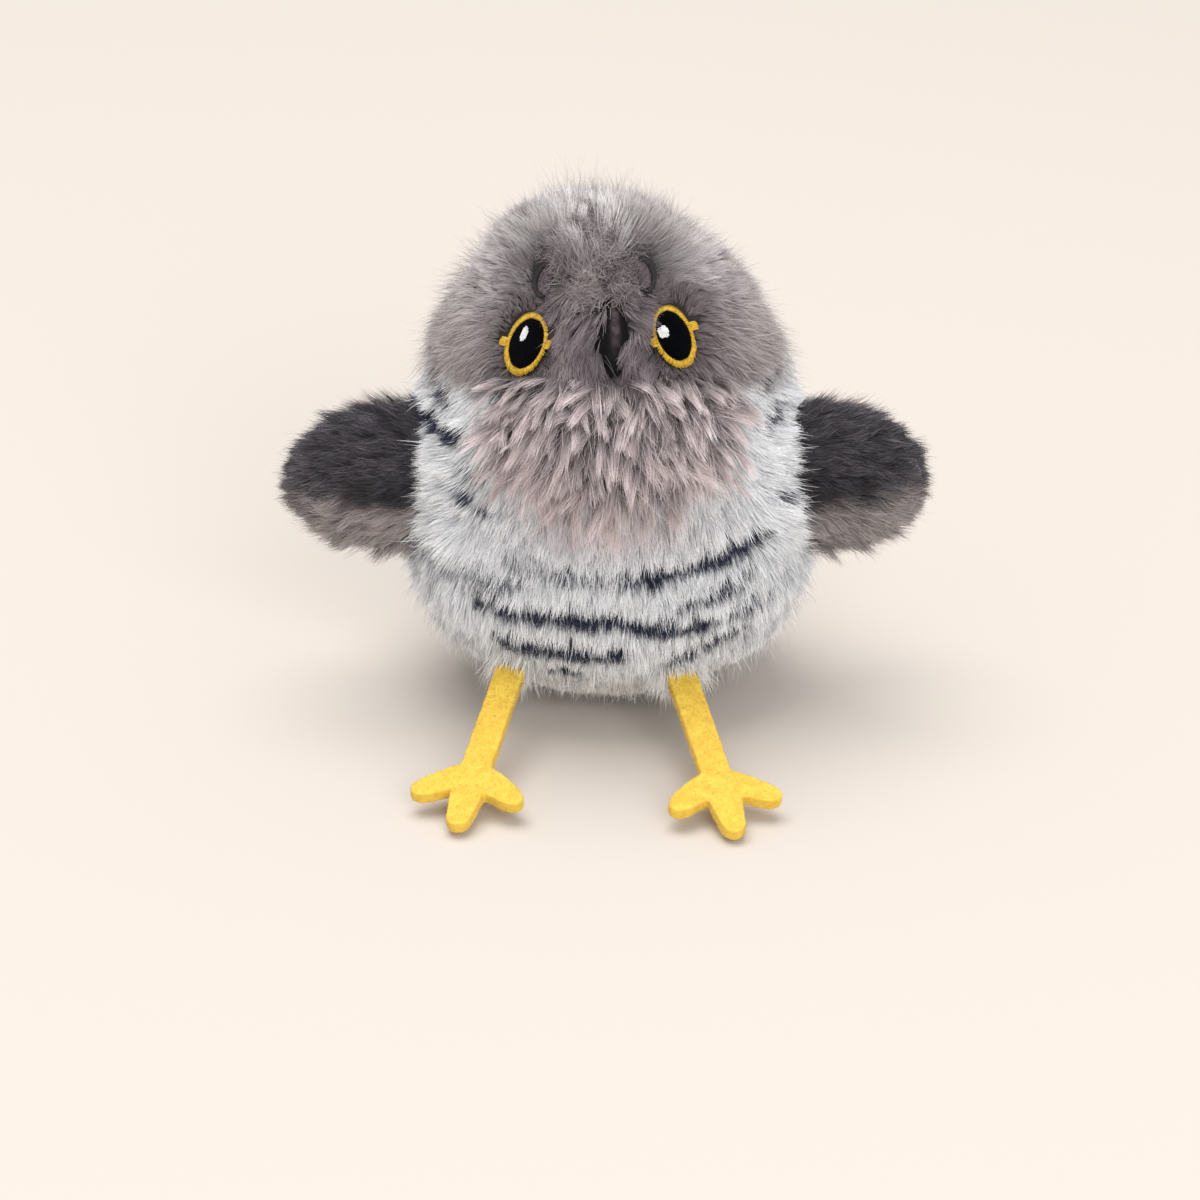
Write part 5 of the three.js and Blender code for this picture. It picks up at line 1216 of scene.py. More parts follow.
@dataclass
class PlushBody:
    """The cloth panels and the fur of the head, the back, the belly and the bib."""

    wardrobe: Wardrobe
    fur: Fur
    face: "Face"
    form: BodyForm = BodyForm()
    panels: Panels = Panels()
    ground: float = 1.6
    ground_thickness: float = 1.0
    lowest: float = 0.05
    forehead: tuple[float, float, float] = (-2.0, -26.0, 117.0)
    forehead_span: tuple[float, float] = (-11.0, 6.0)
    base_draw: float = 1.2
    bib_swell: float = 3.5
    wing_place: tuple[float, float] = (-8.0, 58.0)
    slot_middle: float = 56.0
    slot_half_height: float = 9.6
    slot_front: float = -10.4
    slot_back: float = -5.6
    slot_reach: float = 38.0
    leg_places: tuple[float, float] = (16.6, -23.5)
    fur_crown: float = 113.0

    def __post_init__(self) -> None:
        """Prepares the grid that cloth and fur share."""
        self.coat = Coat(self.form, self.panels, self.face)
        self.points, self.faces = self.form.grid(0.2 - self.ground)
        self.points = self.settled(self.points)
        self.normals = self.form.outward(self.points)
        self.down = along_surface(DOWN, self.normals)
        self.across = along_surface(ACROSS, self.normals)

    def settled(self, points: Array) -> Array:
        """Draws the cloth in above the floor and swells it under the bib."""
        x, y, z = points.T
        bib = np.clip(1 - (x / 36) ** 2 - ((z - self.panels.bib_height + 3) / 19) ** 2, 0, 1)
        out = self.bib_swell * bib * (y < 0) - self.base_draw * step(26, 6, z) * step(0, 3, z)
        return points + self.form.outward(points) * out[:, None]

    def cut_grid(self) -> tuple[Array, list[list[int]]]:
        """Cuts the body's grid along the edges of its openings.

        Returns:
            Points and faces of the whole cloth.
        """
        points, faces = self.form.grid(-self.ground)
        points = self.settled(points)
        points[:, 2] = np.maximum(points[:, 2], self.lowest)
        mesh = bmesh.new()
        corners = [mesh.verts.new(point) for point in points]
        for face in faces:
            mesh.faces.new([corners[i] for i in face])
        for ring in (corners[:self.form.sides], corners[-self.form.sides:]):
            mesh.faces.new(ring)
        p = self.panels
        for grow in (0.0, p.closure_gap):
            across = p.closure_half_width + grow
            for place, way in (((across, 0, 0), (1, 0, 0)), ((-across, 0, 0), (1, 0, 0)),
                               ((0, 0, p.closure_bottom - grow), (0, 0, 1)),
                               ((0, 0, p.closure_top + grow), (0, 0, 1))):
                self.split(mesh, place, way, lambda v: v.y > 10)
        for side in (self.slot_front, self.slot_back):
            self.split(mesh, (0, side, 0), (0, 1, 0), lambda v: abs(v.x) > self.slot_reach)
        mesh.verts.index_update()
        points = np.array([v.co for v in mesh.verts])
        faces = [[v.index for v in face.verts] for face in mesh.faces]
        mesh.free()
        return points, faces

    @staticmethod
    def split(mesh: bmesh.types.BMesh, place: Sequence[float], way: Sequence[float],
              near: Callable[[Any], bool]) -> None:
        """Cuts the faces near an opening along a plane."""
        chosen = [face for face in mesh.faces if all(near(v.co) for v in face.verts)]
        edges = {edge for face in chosen for edge in face.edges}
        corners = {v for face in chosen for v in face.verts}
        bmesh.ops.bisect_plane(mesh, geom=[*chosen, *edges, *corners], plane_co=place,
                               plane_no=way, dist=0.01)

    def panel(self, points: Array, faces: list[list[int]], chosen: Array, name: str,
              slot: str, body: str, *nodes: str) -> None:
        """Makes one closed cloth panel.

        Args:
            points: points of the whole cloth.
            faces: faces of the whole cloth.
            chosen: says which faces belong to the panel.
            name: the piece's name.
            slot: the record's slot.
            body: the body that it rides on.
            nodes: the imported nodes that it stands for.
        """
        mine = [face for face, kept in zip(faces, chosen) if kept]
        used = sorted({corner for face in mine for corner in face})
        place = {corner: i for i, corner in enumerate(used)}
        outer = points[used]
        mine = [[place[corner] for corner in face] for face in mine]
        closed, sides = doubled(outer, mine, self.form.outward(outer), self.ground_thickness)
        closed[:, 2] = np.maximum(closed[:, 2], self.lowest)
        piece = shaped(name, closed, sides)
        shades = self.coat.cloth(outer)
        paint(piece, np.vstack([shades, shades]))
        self.wardrobe.fit(piece, "ground_cloth", body, *nodes, slot=slot)

    def build_cloth(self) -> None:
        """Makes the hood, the belly with the bib, and the closure flap."""
        points, faces = self.cut_grid()
        middles = np.array([points[face].mean(0) for face in faces])
        p = self.panels
        flap = p.closure(middles)
        gap = p.closure(middles, p.closure_gap) & ~flap
        x, y, z = middles.T
        slots = ((np.abs(x) > self.slot_reach) & (y > self.slot_front) & (y < self.slot_back)
                 & (np.abs(z - self.slot_middle) < self.slot_half_height))
        hood = p.hood(middles)
        for chosen, *details in (
                (hood & ~flap & ~gap, "hood_cloth", "grey_plush", "toy_body", "hood_skin"),
                (~hood & ~slots & ~gap & ~flap, "belly_cloth", "white_plush", "toy_body",
                 "belly_skin", "chest_bib"),
                (flap, "closure_cloth", "grey_plush", "closure", "closure_flap")):
            self.panel(points, faces, chosen, *details)

    def hood_combing(self) -> Array:
        """Combs the head away from the forehead and down the back."""
        x, y, z = self.points.T
        start = np.tile(self.forehead, (len(x), 1))
        start[:, 0] = np.clip(x, *self.forehead_span)
        away = along_surface(self.points - start, self.normals)
        share = np.maximum(step(112, 80, z), step(5, 25, y))[:, None]
        flow = away * (1 - 0.6 * share) + self.down * share
        beak = self.face.beak_x
        side = np.sign(x - beak)
        parting = 0.75 * np.exp(-((x - beak) / 7) ** 2) * step(98, 104, z) * step(120, 113, z)
        closing = 0.55 * np.exp(-((x - beak) / 8) ** 2) * step(100, 94, z)
        flow = unit(flow) + self.across * (side * (parting - closing) * (y < 0))[:, None]
        for eye in self.face.eyes:
            near = eye.nearness(self.points)[:, None] * (y < 0)[:, None]
            flow = unit(flow) * (1 - near) + near * along_surface(
                self.points - eye.centre(), self.normals)
        uneven = self.swirls(13, 91)
        return unit(unit(flow) + 0.3 * uneven * np.abs(waves(self.points, 13, 91))[:, None])

    def swirls(self, size: float, seed: int) -> Array:
        """Uneven directions in the surface, from noise of a size and a seed."""
        uneven = np.stack([waves(self.points, size, seed + i) for i in range(3)], 1)
        return along_surface(uneven, self.normals)

    def grow(self, name: str, within: Callable[[Array], Array], flat: Array,
             lift: tuple[float, float], pile: float | Array, style: PileStyle,
             tinted: Callable[[Array, Array], Tints], kept: Choice | None = None,
             slot: str = "grey_plush", body: str = "toy_body") -> None:
        """Grows one patch of the body's fur.

        Args:
            name: the piece's name.
            within: says which places belong to the patch.
            flat: combing direction in the surface at every point of the grid.
            lift: angles out of the surface at the strands' roots and tips.
            pile: length of the strands at every point of the grid.
            style: how the strands look.
            tinted: gives the strands' colours.
            kept: says which strands stay, where some go.
            slot: the finish.
            body: the body that the patch rides on.
        """
        faces = self.faces[within(self.points)[self.faces].any(1)]
        used, corners = np.unique(faces, return_inverse=True)
        combed = [lifted(flat[used], self.normals[used], angle) for angle in lift]
        pile = np.broadcast_to(pile, len(flat))[used]
        piece = self.fur.patch(
            name, Host(self.points[used], corners.reshape(-1, 4), *combed, pile), style, slot,
            lambda root, middle: within(root) & (kept is None or kept(root, middle)), tinted)
        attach(piece, body)

    def hood_patch(self, points: Array) -> Array:
        """Numbers the hood's patches: crown's front and back, face, sides and backs."""
        x, y, z = points.T
        front = np.where(np.abs(x + 2) < 25, 2, np.where(x > 0, 3, 4))
        low = np.where(y < 2, front, np.where(x >= 0, 5, 6))
        return np.where(z >= self.fur_crown, np.where(y < 0, 0, 1), low)

    def clear(self, root: Array, middle: Array) -> Array:
        """Keeps the strands that don't hide the eyes, the brows or the beak."""
        return ~self.face.covers(root, middle)

    def on_hood(self, root: Array, middle: Array) -> Array:
        """Keeps the strands of the hood that hide nothing."""
        return (self.panels.hood(root) & ~self.panels.bib(root)
                & ~self.face.covers(root, middle)
                & ~self.panels.closure(root, self.panels.closure_gap)
                & ~(self.fuzzed(root) & (waves(root, 3, 94) < 0.6)))

    def build_hood_fur(self) -> None:
        """Grows the hood in patches, from the face to the back."""
        x, y, z = self.points.T
        flat = self.hood_combing()
        near_edge = np.exp(-np.maximum(0, self.closure_distance(self.points)) / 3)
        pile = (6.6 + 1.0 * waves(self.points, 20, 2)) * (1 - 0.6 * near_edge)
        pile = np.where(y < 0, pile * (1 - 0.6 * self.face.nearness(self.points)), pile)
        curtain = np.exp(-((x - self.face.beak_x) / 7) ** 2) * step(88, 93, z) * step(114, 109, z)
        pile = np.where(y < 0, pile + 1.5 * curtain - 1.2 * step(93, 90, z), pile)
        slimmer = (2.4 * np.exp(-((x + 27) / 9) ** 2 - ((z - 108) / 8) ** 2)
                   + 1.0 * np.exp(-((x - 15) / 8) ** 2 - ((z - 120) / 7) ** 2))
        pile = pile - slimmer
        soft = PileStyle(11.0, 0.19, clump_spacing=2.2, clump_pull=0.45, spread=0.2, curl=1.2,
                         clump_lean=0.2, clump_tone=0.1)
        crown = replace(soft, density=12.5, width=0.17, clump_lean=0.12, unevenness=0.08)
        face = replace(soft, density=12.0, width=0.21, clump_spacing=1.8, clump_pull=0.6,
                       spread=0.14, clump_lean=0.32, clump_tone=0.2)
        back = PileStyle(3.4, 0.48, spread=0.3)

        patches = (("crown_fur_front", crown), ("crown_fur_back", back), ("face_fur", face),
                   ("hood_fur_left", soft), ("hood_fur_right", soft),
                   ("back_fur_left", back), ("back_fur_right", back))
        for number, (name, style) in enumerate(patches):
            self.grow(name, lambda p, number=number: self.hood_patch(p) == number, flat,
                      (42, 14), pile, replace(style, seed=number + 2), self.coat.hood,
                      self.on_hood)
        self.build_fuzz()
        self.build_wisps(flat)

    @staticmethod
    def fuzzed(points: Array) -> Array:
        """Says which places lie in the matted fuzz of the forehead."""
        x, y, z = points.T
        ragged = 1 + 0.15 * waves(points, 5, 95)
        return (y < 0) & (((x + 3.5) / 12.5) ** 2 + ((z - 115.5) / 8) ** 2 < ragged)

    def build_fuzz(self) -> None:
        """Grows the matted fuzz between the brows."""
        flat = unit(self.swirls(7, 96) - 0.2 * self.down)
        style = PileStyle(14.0, 0.18, segments=4, spread=0.7, roll=80, clump_spacing=1.6,
                          clump_pull=0.4, clump_lean=0.6, clump_tone=0.2, curl=5.0, seed=13)
        self.grow("forehead_fuzz", self.fuzzed, flat, (48, 8), 6.5, style, self.coat.fuzz,
                  self.clear)

    def build_wisps(self, flat: Array) -> None:
        """Grows a few long loose hairs on the head and the bib."""
        style = PileStyle(0.16, 0.1, segments=5, spread=0.55, roll=80, clump_lean=0.0,
                          clump_pull=0.0, curl=5.0, seed=14)
        halo = PileStyle(1.4, 0.12, segments=3, spread=0.4, roll=80, clump_lean=0.1,
                         clump_pull=0.1, curl=2.5, seed=16)
        self.grow("head_halo", lambda p: p[:, 2] > 84, flat, (50, 26), 8.8, halo,
                  Tints.alike("7d7371", "bfb6b3"),
                  lambda root, middle: self.panels.hood(root) & ~self.fuzzed(root)
                  & ((np.abs(root[:, 0] + 2) > 26) | (root[:, 2] > 116) | (root[:, 1] > 0)))
        self.grow("head_wisps", lambda p: p[:, 2] > 84, flat, (62, 34),
                  11.0 + 3.0 * step(112, 120, self.points[:, 2]), style,
                  Tints.alike("8f8583", "d6cfcc"),
                  lambda root, middle: self.panels.hood(root)
                  & ~self.face.covers(root, middle) & (self.face.nearness(root) < 0.1)
                  & (np.abs(root[:, 0]) > 9))
        self.grow("crown_wisps", lambda p: (p[:, 2] > 119) & (np.abs(p[:, 0] + 4) < 9), flat,
                  (78, 66), 12.5, replace(style, density=0.1, seed=17),
                  Tints.alike("7d7371", "c6bfbc"))
        self.grow("bib_wisps", lambda p: (p[:, 1] < 0) & (p[:, 2] > 68) & (p[:, 2] < 80),
                  unit(self.down + 0.6 * self.across * np.sign(self.points[:, :1])), (40, 12),
                  17.0, replace(style, density=0.11, seed=15), Tints.alike("b5a9a7", "efe9e8"),
                  lambda root, middle: self.panels.bib(root), "bib_plush")

    def closure_distance(self, points: Array) -> Array:
        """Rough distance of places on the back from the closure's edge."""
        p = self.panels
        middle = (p.closure_bottom + p.closure_top) / 2
        across = np.abs(points[:, 0]) - p.closure_half_width
        up = np.abs(points[:, 2] - middle) - (p.closure_top - p.closure_bottom) / 2
        return np.where(points[:, 1] > 0, np.abs(np.maximum(across, up)), 99.0)

    def build_closure_fur(self) -> None:
        """Grows the closure flap's own fur."""
        pile = 6.0 - 3.0 * np.exp(-self.closure_distance(self.points) / 2)
        self.grow("closure_fur", self.panels.closure, self.down, (38, 10), pile,
                  PileStyle(4.5, 0.42, seed=30, spread=0.3), self.coat.hood, body="closure")

    def build_belly_fur(self) -> None:
        """Grows the white belly and cheeks."""
        x, y, z = self.points.T
        sideways = along_surface(np.stack([np.sign(x), 0 * x + 0.4, 0 * x], 1), self.normals)
        cheek = step(50, 75, z) * step(15, 35, np.abs(x))
        shoulder = step(42, 54, z) * step(84, 72, z) * step(28, 38, np.abs(x)) * step(16, 4, y)
        flat = unit(self.down * (1 - 0.5 * shoulder[:, None])
                    + (0.55 * cheek + 0.9 * shoulder)[:, None] * sideways)
        under = step(8, 2, z)[:, None]
        radial = along_surface(np.stack([x, y, 0 * x], 1) + 1e-6, self.normals)
        flat = unit(flat * (1 - under) + radial * under)
        pile = (6.4 + 0.8 * waves(self.points, 15, 4)) * (1 - 0.5 * step(38, 6, z))
        pile = pile + 1.6 * shoulder
        white = {"tinted": self.coat.white, "slot": "white_plush"}
        number = 20
        for word, start, end, density, width in (
                ("belly", 0, 34, 11.5, 0.21), ("side", 34, 84, 8.8, 0.21),
                ("wing_side", 84, 100, 6.0, 0.28), ("flank", 100, 181, 4.4, 0.4)):
            for side, low, high in (("left", start, end), ("right", -end, -start)):
                style = PileStyle(density, width, seed=number, clump_spacing=2.4,
                                  clump_pull=0.5, clump_lean=0.2, clump_tone=0.1, spread=0.22,
                                  shade=1.0, unevenness=0.06, curl=0.9)
                self.grow(f"{word}_fur_{side}",
                          lambda p, low=low, high=high: self.is_white(p, low, high), flat,
                          (38, 12), pile, style, **white)
                number += 1
        over_legs = PileStyle(13.0, 0.17, seed=28, clump_spacing=2.0, clump_pull=0.4,
                              clump_lean=0.25, clump_length=0.25, spread=0.3, curl=1.5)
        self.grow("leg_top_fur", self.above_legs, flat, (60, 28), 9.5, over_legs, **white)
        over_wings = replace(over_legs, density=2.2, width=0.15, spread=0.3, curl=2.5, seed=27)
        self.grow("shoulder_fur", self.by_wings, unit(sideways + 0.35 * self.down), (30, 12),
                  10.0, over_wings, kept=lambda root, middle: ~self.panels.hood(root), **white)
        wisps = PileStyle(0.65, 0.11, spread=0.5, roll=80, clump_pull=0.1, curl=2.5, seed=29)
        self.grow("belly_wisps", lambda p: self.is_white(p, -181, 181), flat, (55, 25),
                  8.5 * (1 - 0.5 * step(20, 4, z)), wisps, self.coat.wisp, slot="white_plush")

    def above_legs(self, points: Array) -> Array:
        """Says which places lie just above the tops of the legs."""
        x, y, z = points.T
        near = [np.abs(x - middle) < 4.7 for middle in self.leg_places]
        return (y < 0) & (z > 19.5) & (z < 24.5) & (near[0] | near[1])

    def from_wing(self, points: Array, depth: float, height: float) -> Array:
        """Distance from a wing's root as a share of an oval's two radii, squared."""
        y, z = self.wing_place
        return ((points[:, 1] - y) / depth) ** 2 + ((points[:, 2] - z) / height) ** 2

    def by_wings(self, points: Array) -> Array:
        """Says which places lie just before the roots of the wings."""
        x, y, _ = points.T
        ring = np.sqrt(self.from_wing(points, 11, 19))
        return (np.abs(x) > 38) & (y < -4) & (ring > 0.9) & (ring < 1.2)

    def is_white(self, points: Array, low: float, high: float) -> Array:
        """Says which places lie on the white cloth between two angles."""
        angle = self.form.azimuth(points)
        in_wing = (np.abs(points[:, 0]) > 42) & (self.from_wing(points, 8, 16) < 1)
        return ((angle >= low) & (angle < high) & ~self.panels.hood(points)
                & ~self.panels.bib(points) & ~in_wing)

    def build_bib(self) -> None:
        """Grows the long clumped bib."""
        x, _, z = self.points.T
        away = along_surface(self.points - np.array([0.0, -37.0, 106.0]), self.normals)
        flat = unit(0.6 * away + 0.8 * self.down)
        pile = (12.0 + 2.0 * waves(self.points, 12, 6) - 2.5 * step(84, 93, z)
                + 1.5 * np.exp(-(x / 14) ** 2) * step(78, 72, z))
        style = PileStyle(15.0, 0.2, 4, seed=32, spread=0.07, roll=60, clump_spacing=2.1,
                          clump_pull=0.9, clump_lean=0.5, clump_length=0.3, clump_tone=0.24,
                          shade=1.5, curl=1.6)
        loose = replace(style, density=1.2, width=0.12, spread=0.3, clump_pull=0.3,
                        clump_tone=0.1, curl=3.0, seed=33)
        for name, lift, length, hairs in (("bib_fur", (56, 0), pile, style),
                                          ("bib_loose_fur", (52, 10), pile + 2.5, loose)):
            self.grow(name, self.panels.bib, flat, lift, length, hairs, self.coat.bib,
                      self.clear, "bib_plush")


# Embroidery

class StitchTree:
    """Geometry nodes that turn edges into raised threads."""

    def __init__(self) -> None:
        """Builds the tree."""
        self.tree = bpy.data.node_groups.new("stitches", "GeometryNodeTree")
        declare(self.tree, {
            "Geometry": ("Geometry", None), "Radius": ("Float", 2e-4), "Lift": ("Float", 3e-4),
            "Points": ("Int", 5), "Sides": ("Int", 5), "Finish": ("Material", None),
        }, {"Geometry": "Geometry"})
        wiring = Wiring(self.tree)
        start = wiring.add("NodeGroupInput").outputs
        outward = wiring.add("GeometryNodeInputNamedAttribute", {"data_type": "FLOAT_VECTOR"},
                             {"Name": "outward"}).outputs["Attribute"]
        curves = wiring.shape("MeshToCurve", Mesh=start["Geometry"])[0]
        fine = wiring.shape("ResampleCurve", Curve=curves, Count=start["Points"])[0]
        part = wiring.shape("SplineParameter")["Factor"]
        arch = wiring.maths("MULTIPLY", part, wiring.maths("SUBTRACT", 1.0, part))
        arch = wiring.maths("MULTIPLY", wiring.maths("POWER", arch, 0.6),
                            wiring.maths("MULTIPLY", start["Lift"], 2.3))
        raised = wiring.shape("SetPosition", Geometry=fine, Offset=wiring.scaled(outward, arch))
        profile = wiring.shape("CurvePrimitiveCircle", Resolution=start["Sides"],
                               Radius=start["Radius"])[0]
        threads = wiring.shape("CurveToMesh", Curve=raised[0], Profile_Curve=profile,
                               Fill_Caps=True)[0]
        real = wiring.shape("RealizeInstances", Geometry=threads)[0]
        finished = wiring.shape("SetMaterial", Geometry=real, Material=start["Finish"])[0]
        wiring.feed(wiring.add("NodeGroupOutput").inputs["Geometry"], finished)

    def sew(self, name: str, ends: Array, outward: Array, finish: Material,
            radius: float, lift: float, points: int = 5) -> Piece:
        """Sews one thread for each pair of places.

        Args:
            name: the piece's name.
            ends: the two ends of each stitch, in millimetres.
            outward: directions out of the cloth at the stitches.
            finish: the thread's material.
            radius: the thread's radius.
            lift: how far the middle stands off the cloth.
            points: points along one stitch.

        Returns:
            The piece.
        """
        mesh = bpy.data.meshes.new(f"{name}_course")
        edges = np.arange(2 * len(ends)).reshape(-1, 2).tolist()
        mesh.from_pydata((ends.reshape(-1, 3) * MM).tolist(), edges, [])
        store(mesh, "outward", np.repeat(outward, 2, axis=0))
        piece = run_tree(new_object(mesh.name, mesh), self.tree, name, {
            "Radius": radius * MM, "Lift": lift * MM, "Points": points, "Sides": 5,
            "Finish": finish})
        piece.data.shade_smooth()
        return piece


def joined(name: str, first: Piece, *others: Piece) -> Piece:
    """Joins plain objects into the first one, with its material."""
    def gather(mesh: bmesh.types.BMesh) -> None:
        """Adds the other pieces' meshes."""
        for piece in others:
            mesh.from_mesh(piece.data)

    edited(first, gather)
    for piece in others:
        bpy.data.objects.remove(piece)
    first.name = first.data.name = name
    return first


@dataclass(frozen=True)
class Patch:
    """A flat place on the face that stitching is laid on."""

    form: BodyForm
    x: float
    z: float
    roll: float = 0.0

    def axes(self) -> tuple[Array, Array]:
        """Directions across and up along the face at the patch."""
        centre = self.form.front(self.x, self.z)[None]
        outward = self.form.outward(centre)[0]
        up = unit(np.array([0, 0, 1.0]) - outward[2] * outward)
        return np.cross(up, outward), up

    def place(self, u: Array, v: Array, outset: Array | float) -> Array:
        """Lays flat coordinates on the face.

        Args:
            u: distances across the patch.
            v: distances up it.
            outset: height over the cloth.

        Returns:
            Places in the object's frame.
        """
        across, up = self.axes()
        turned = u * math.cos(self.roll) - v * math.sin(self.roll)
        raised = u * math.sin(self.roll) + v * math.cos(self.roll)
        centre = self.form.front(self.x, self.z)
        flat = centre + turned[..., None] * across + raised[..., None] * up
        return self.form.front(flat[..., 0], flat[..., 2], outset)

    def away(self, points: Array, half_width: float, half_height: float) -> Array:
        """Distance from the middle as a share of an oval's two radii."""
        u, v = self.local(points)
        return np.sqrt((u / half_width) ** 2 + (v / half_height) ** 2)

    def local(self, points: Array) -> tuple[Array, Array]:
        """Finds the patch's own coordinates of places near it."""
        across, up = self.axes()
        u = (points[:, 0] - self.x) / across[0]
        v = (points[:, 2] - self.z) / up[2]
        return (u * math.cos(self.roll) + v * math.sin(self.roll),
                v * math.cos(self.roll) - u * math.sin(self.roll))


@dataclass
class Eye:
    """One embroidered eye: gold ring, black pupil and white glint."""

    wardrobe: Wardrobe
    stitches: StitchTree
    word: str
    patch: Patch
    glint: tuple[float, float]
    nub_heights: tuple[float, float]
    nub_reach: tuple[float, float]
    half_width: float = 5.0
    half_height: float = 7.4
    ring: float = 0.75
    ring_foot: float = 1.9
    lift: float = 0.7
    foot: float = -1.6

    @property
    def rise(self) -> float:
        """How much higher the pupil sits than the ring."""
        return (self.ring_foot - self.ring) / 2

    @property
    def pupil(self) -> float:
        """Half the pupil's height."""
        return self.half_height - (self.ring + self.ring_foot) / 2

    def oval(self, turn: Array, grow: float) -> tuple[Array, Array]:
        """The pupil's outline, grown by a distance."""
        width = self.half_width - self.ring + grow
        return width * np.cos(turn), self.rise + (self.pupil + grow) * np.sin(turn)

    def rim(self, turn: Array, grow: float = 0.0) -> tuple[Array, Array]:
        """The ring's outer outline."""
        return (self.half_width + grow) * np.cos(turn), (self.half_height + grow) * np.sin(turn)

    def pad(self, name: str, outline: Callable[[Array], tuple[Array, Array]], height: float,
            crown: float) -> Piece:
        """A closed low dome under the threads.

        Args:
            name: the piece's name.
            outline: gives the edge at an angle.
            height: the edge's height over the cloth.
            crown: how much higher the middle is.

        Returns:
            The object.
        """
        sides, rings = 40, 6
        u, v = outline(np.linspace(0, 2 * math.pi, sides, endpoint=False))
        middle = np.array([0.0, v.mean()])
        points = [self.patch.place(u, v, self.foot)]
        for i in range(rings):
            part = 1 - i / rings
            outset = height + crown * (1 - part ** 2)
            points.append(self.patch.place(u * part, middle[1] + (v - middle[1]) * part, outset))
        for outset in (height + crown, self.foot):
            points.append(self.patch.place(np.array([0.0]), middle[1:], outset))
        last = rings * sides
        top, base = last + sides, last + sides + 1
        faces = tube_quads(rings + 1, sides).tolist()
        for i in range(sides):
            j = (i + 1) % sides
            faces += [[last + i, last + j, top], [j, i, base]]
        return shaped(name, np.vstack(points), faces)

    def threads(self, name: str, u0: Array, v0: Array, u1: Array, v1: Array, height: float,
                finish: str, **sizes: float) -> Piece:
        """Sews threads between pairs of places of the patch."""
        ends = np.stack([self.patch.place(u0, v0, height), self.patch.place(u1, v1, height)], 1)
        outward = self.patch.form.outward((ends[:, 0] + ends[:, 1]) / 2)
        return self.stitches.sew(name, ends, outward, self.wardrobe.materials[finish], **sizes)

    def build(self) -> None:
        """Sews the eye."""
        rng = np.random.default_rng(40)
        gold = self.pad(f"{self.word}_eye_gold", lambda t: self.rim(t, -0.15), self.lift - 0.2, 0.0)
        turn = np.linspace(0, 2 * math.pi, 132, endpoint=False) + rng.normal(0, 0.012, 132)
        inner = self.oval(turn, -0.25)
        outer = self.rim(turn, 0.0)
        wobble = rng.normal(0, 0.1, 132)
        ring = self.threads("ring", *inner, outer[0] + wobble * np.cos(turn),
                            outer[1] + wobble * np.sin(turn), self.lift - 0.15, "gold_thread",
                            radius=0.16, lift=0.55)
        rows = np.linspace(-0.9, 0.9, 6)
        nubs = []
        for way, height, reach in zip((-1, 1), self.nub_heights, self.nub_reach):
            u0 = np.full(6, way * (self.half_width - 0.4))
            u1 = way * (self.half_width + reach - 0.3 * rows ** 2)
            v0, v1 = (rows + height - u * math.tan(self.patch.roll) for u in (u0, u1))
            nubs.append(self.threads("nub", u0, v0, u1, v1, self.lift - 0.1,
                                     "gold_thread", radius=0.2, lift=0.35))
        self.finish(joined(f"{self.word}_eye_gold", gold, ring, *nubs), "gold_thread",
                    f"{self.word}_eye_ring")
        dome = self.pad("dome", lambda t: self.oval(t, -0.1), self.lift + 0.05, 0.75)
        height, rise = self.pupil, self.rise
        v = np.arange(-height + 0.3, height - 0.2, 0.33)
        reach = (self.half_width - self.ring) * np.sqrt(1 - (v / height) ** 2)
        row = self.threads("rows", -reach, v + rise + rng.normal(0, 0.05, len(v)), reach,
                           v + rise + rng.normal(0, 0.05, len(v)), self.lift + 0.1,
                           "black_thread", radius=0.19, lift=0.8, points=11)
        self.finish(joined(f"{self.word}_eye_black", dome, row), "black_thread",
                    f"{self.word}_pupil")
        wide, tall = self.glint
        across = np.arange(-wide, wide + 0.1, 0.3)
        half = tall * np.sqrt(1 - (across / (wide + 0.2)) ** 2) + rng.normal(0, 0.15, len(across))
        glint = self.threads(f"{self.word}_eye_white", across - 1.7, rise + 2.1 - half,
                             across - 1.7, rise + 2.1 + half, self.lift + 0.8, "white_thread",
                             radius=0.17, lift=0.12)
        self.finish(glint, "white_thread", f"{self.word}_eye_glint")

    def finish(self, piece: Piece, finish: str, node: str) -> None:
        """Dresses and places one piece of the eye."""
        self.wardrobe.fit(piece, finish, "toy_body", node)

    def centre(self) -> Array:
        """The eye's middle on the face."""
        return self.patch.form.front(self.patch.x, self.patch.z)

    def away(self, points: Array) -> Array:
        """Distance from the middle as a share of the eye's size."""
        return self.patch.away(points, self.half_width, self.half_height)

    def nearness(self, points: Array) -> Array:
        """1 on the eye, falling to 0 a few millimetres away."""
        return step(1.9, 1.1, self.away(points))

    def covers(self, points: Array) -> Array:
        """Says which places lie over the eye."""
        u, v = self.patch.local(points)
        oval = self.away(points) < 0.96
        side = np.sign(self.patch.x)
        height = self.nub_heights[int(side > 0)]
        level = v + u * math.tan(self.patch.roll) - height
        nub = (side * u > 0) & (side * u < self.half_width + 1.8) & (np.abs(level) < 1.3)
        return oval | nub


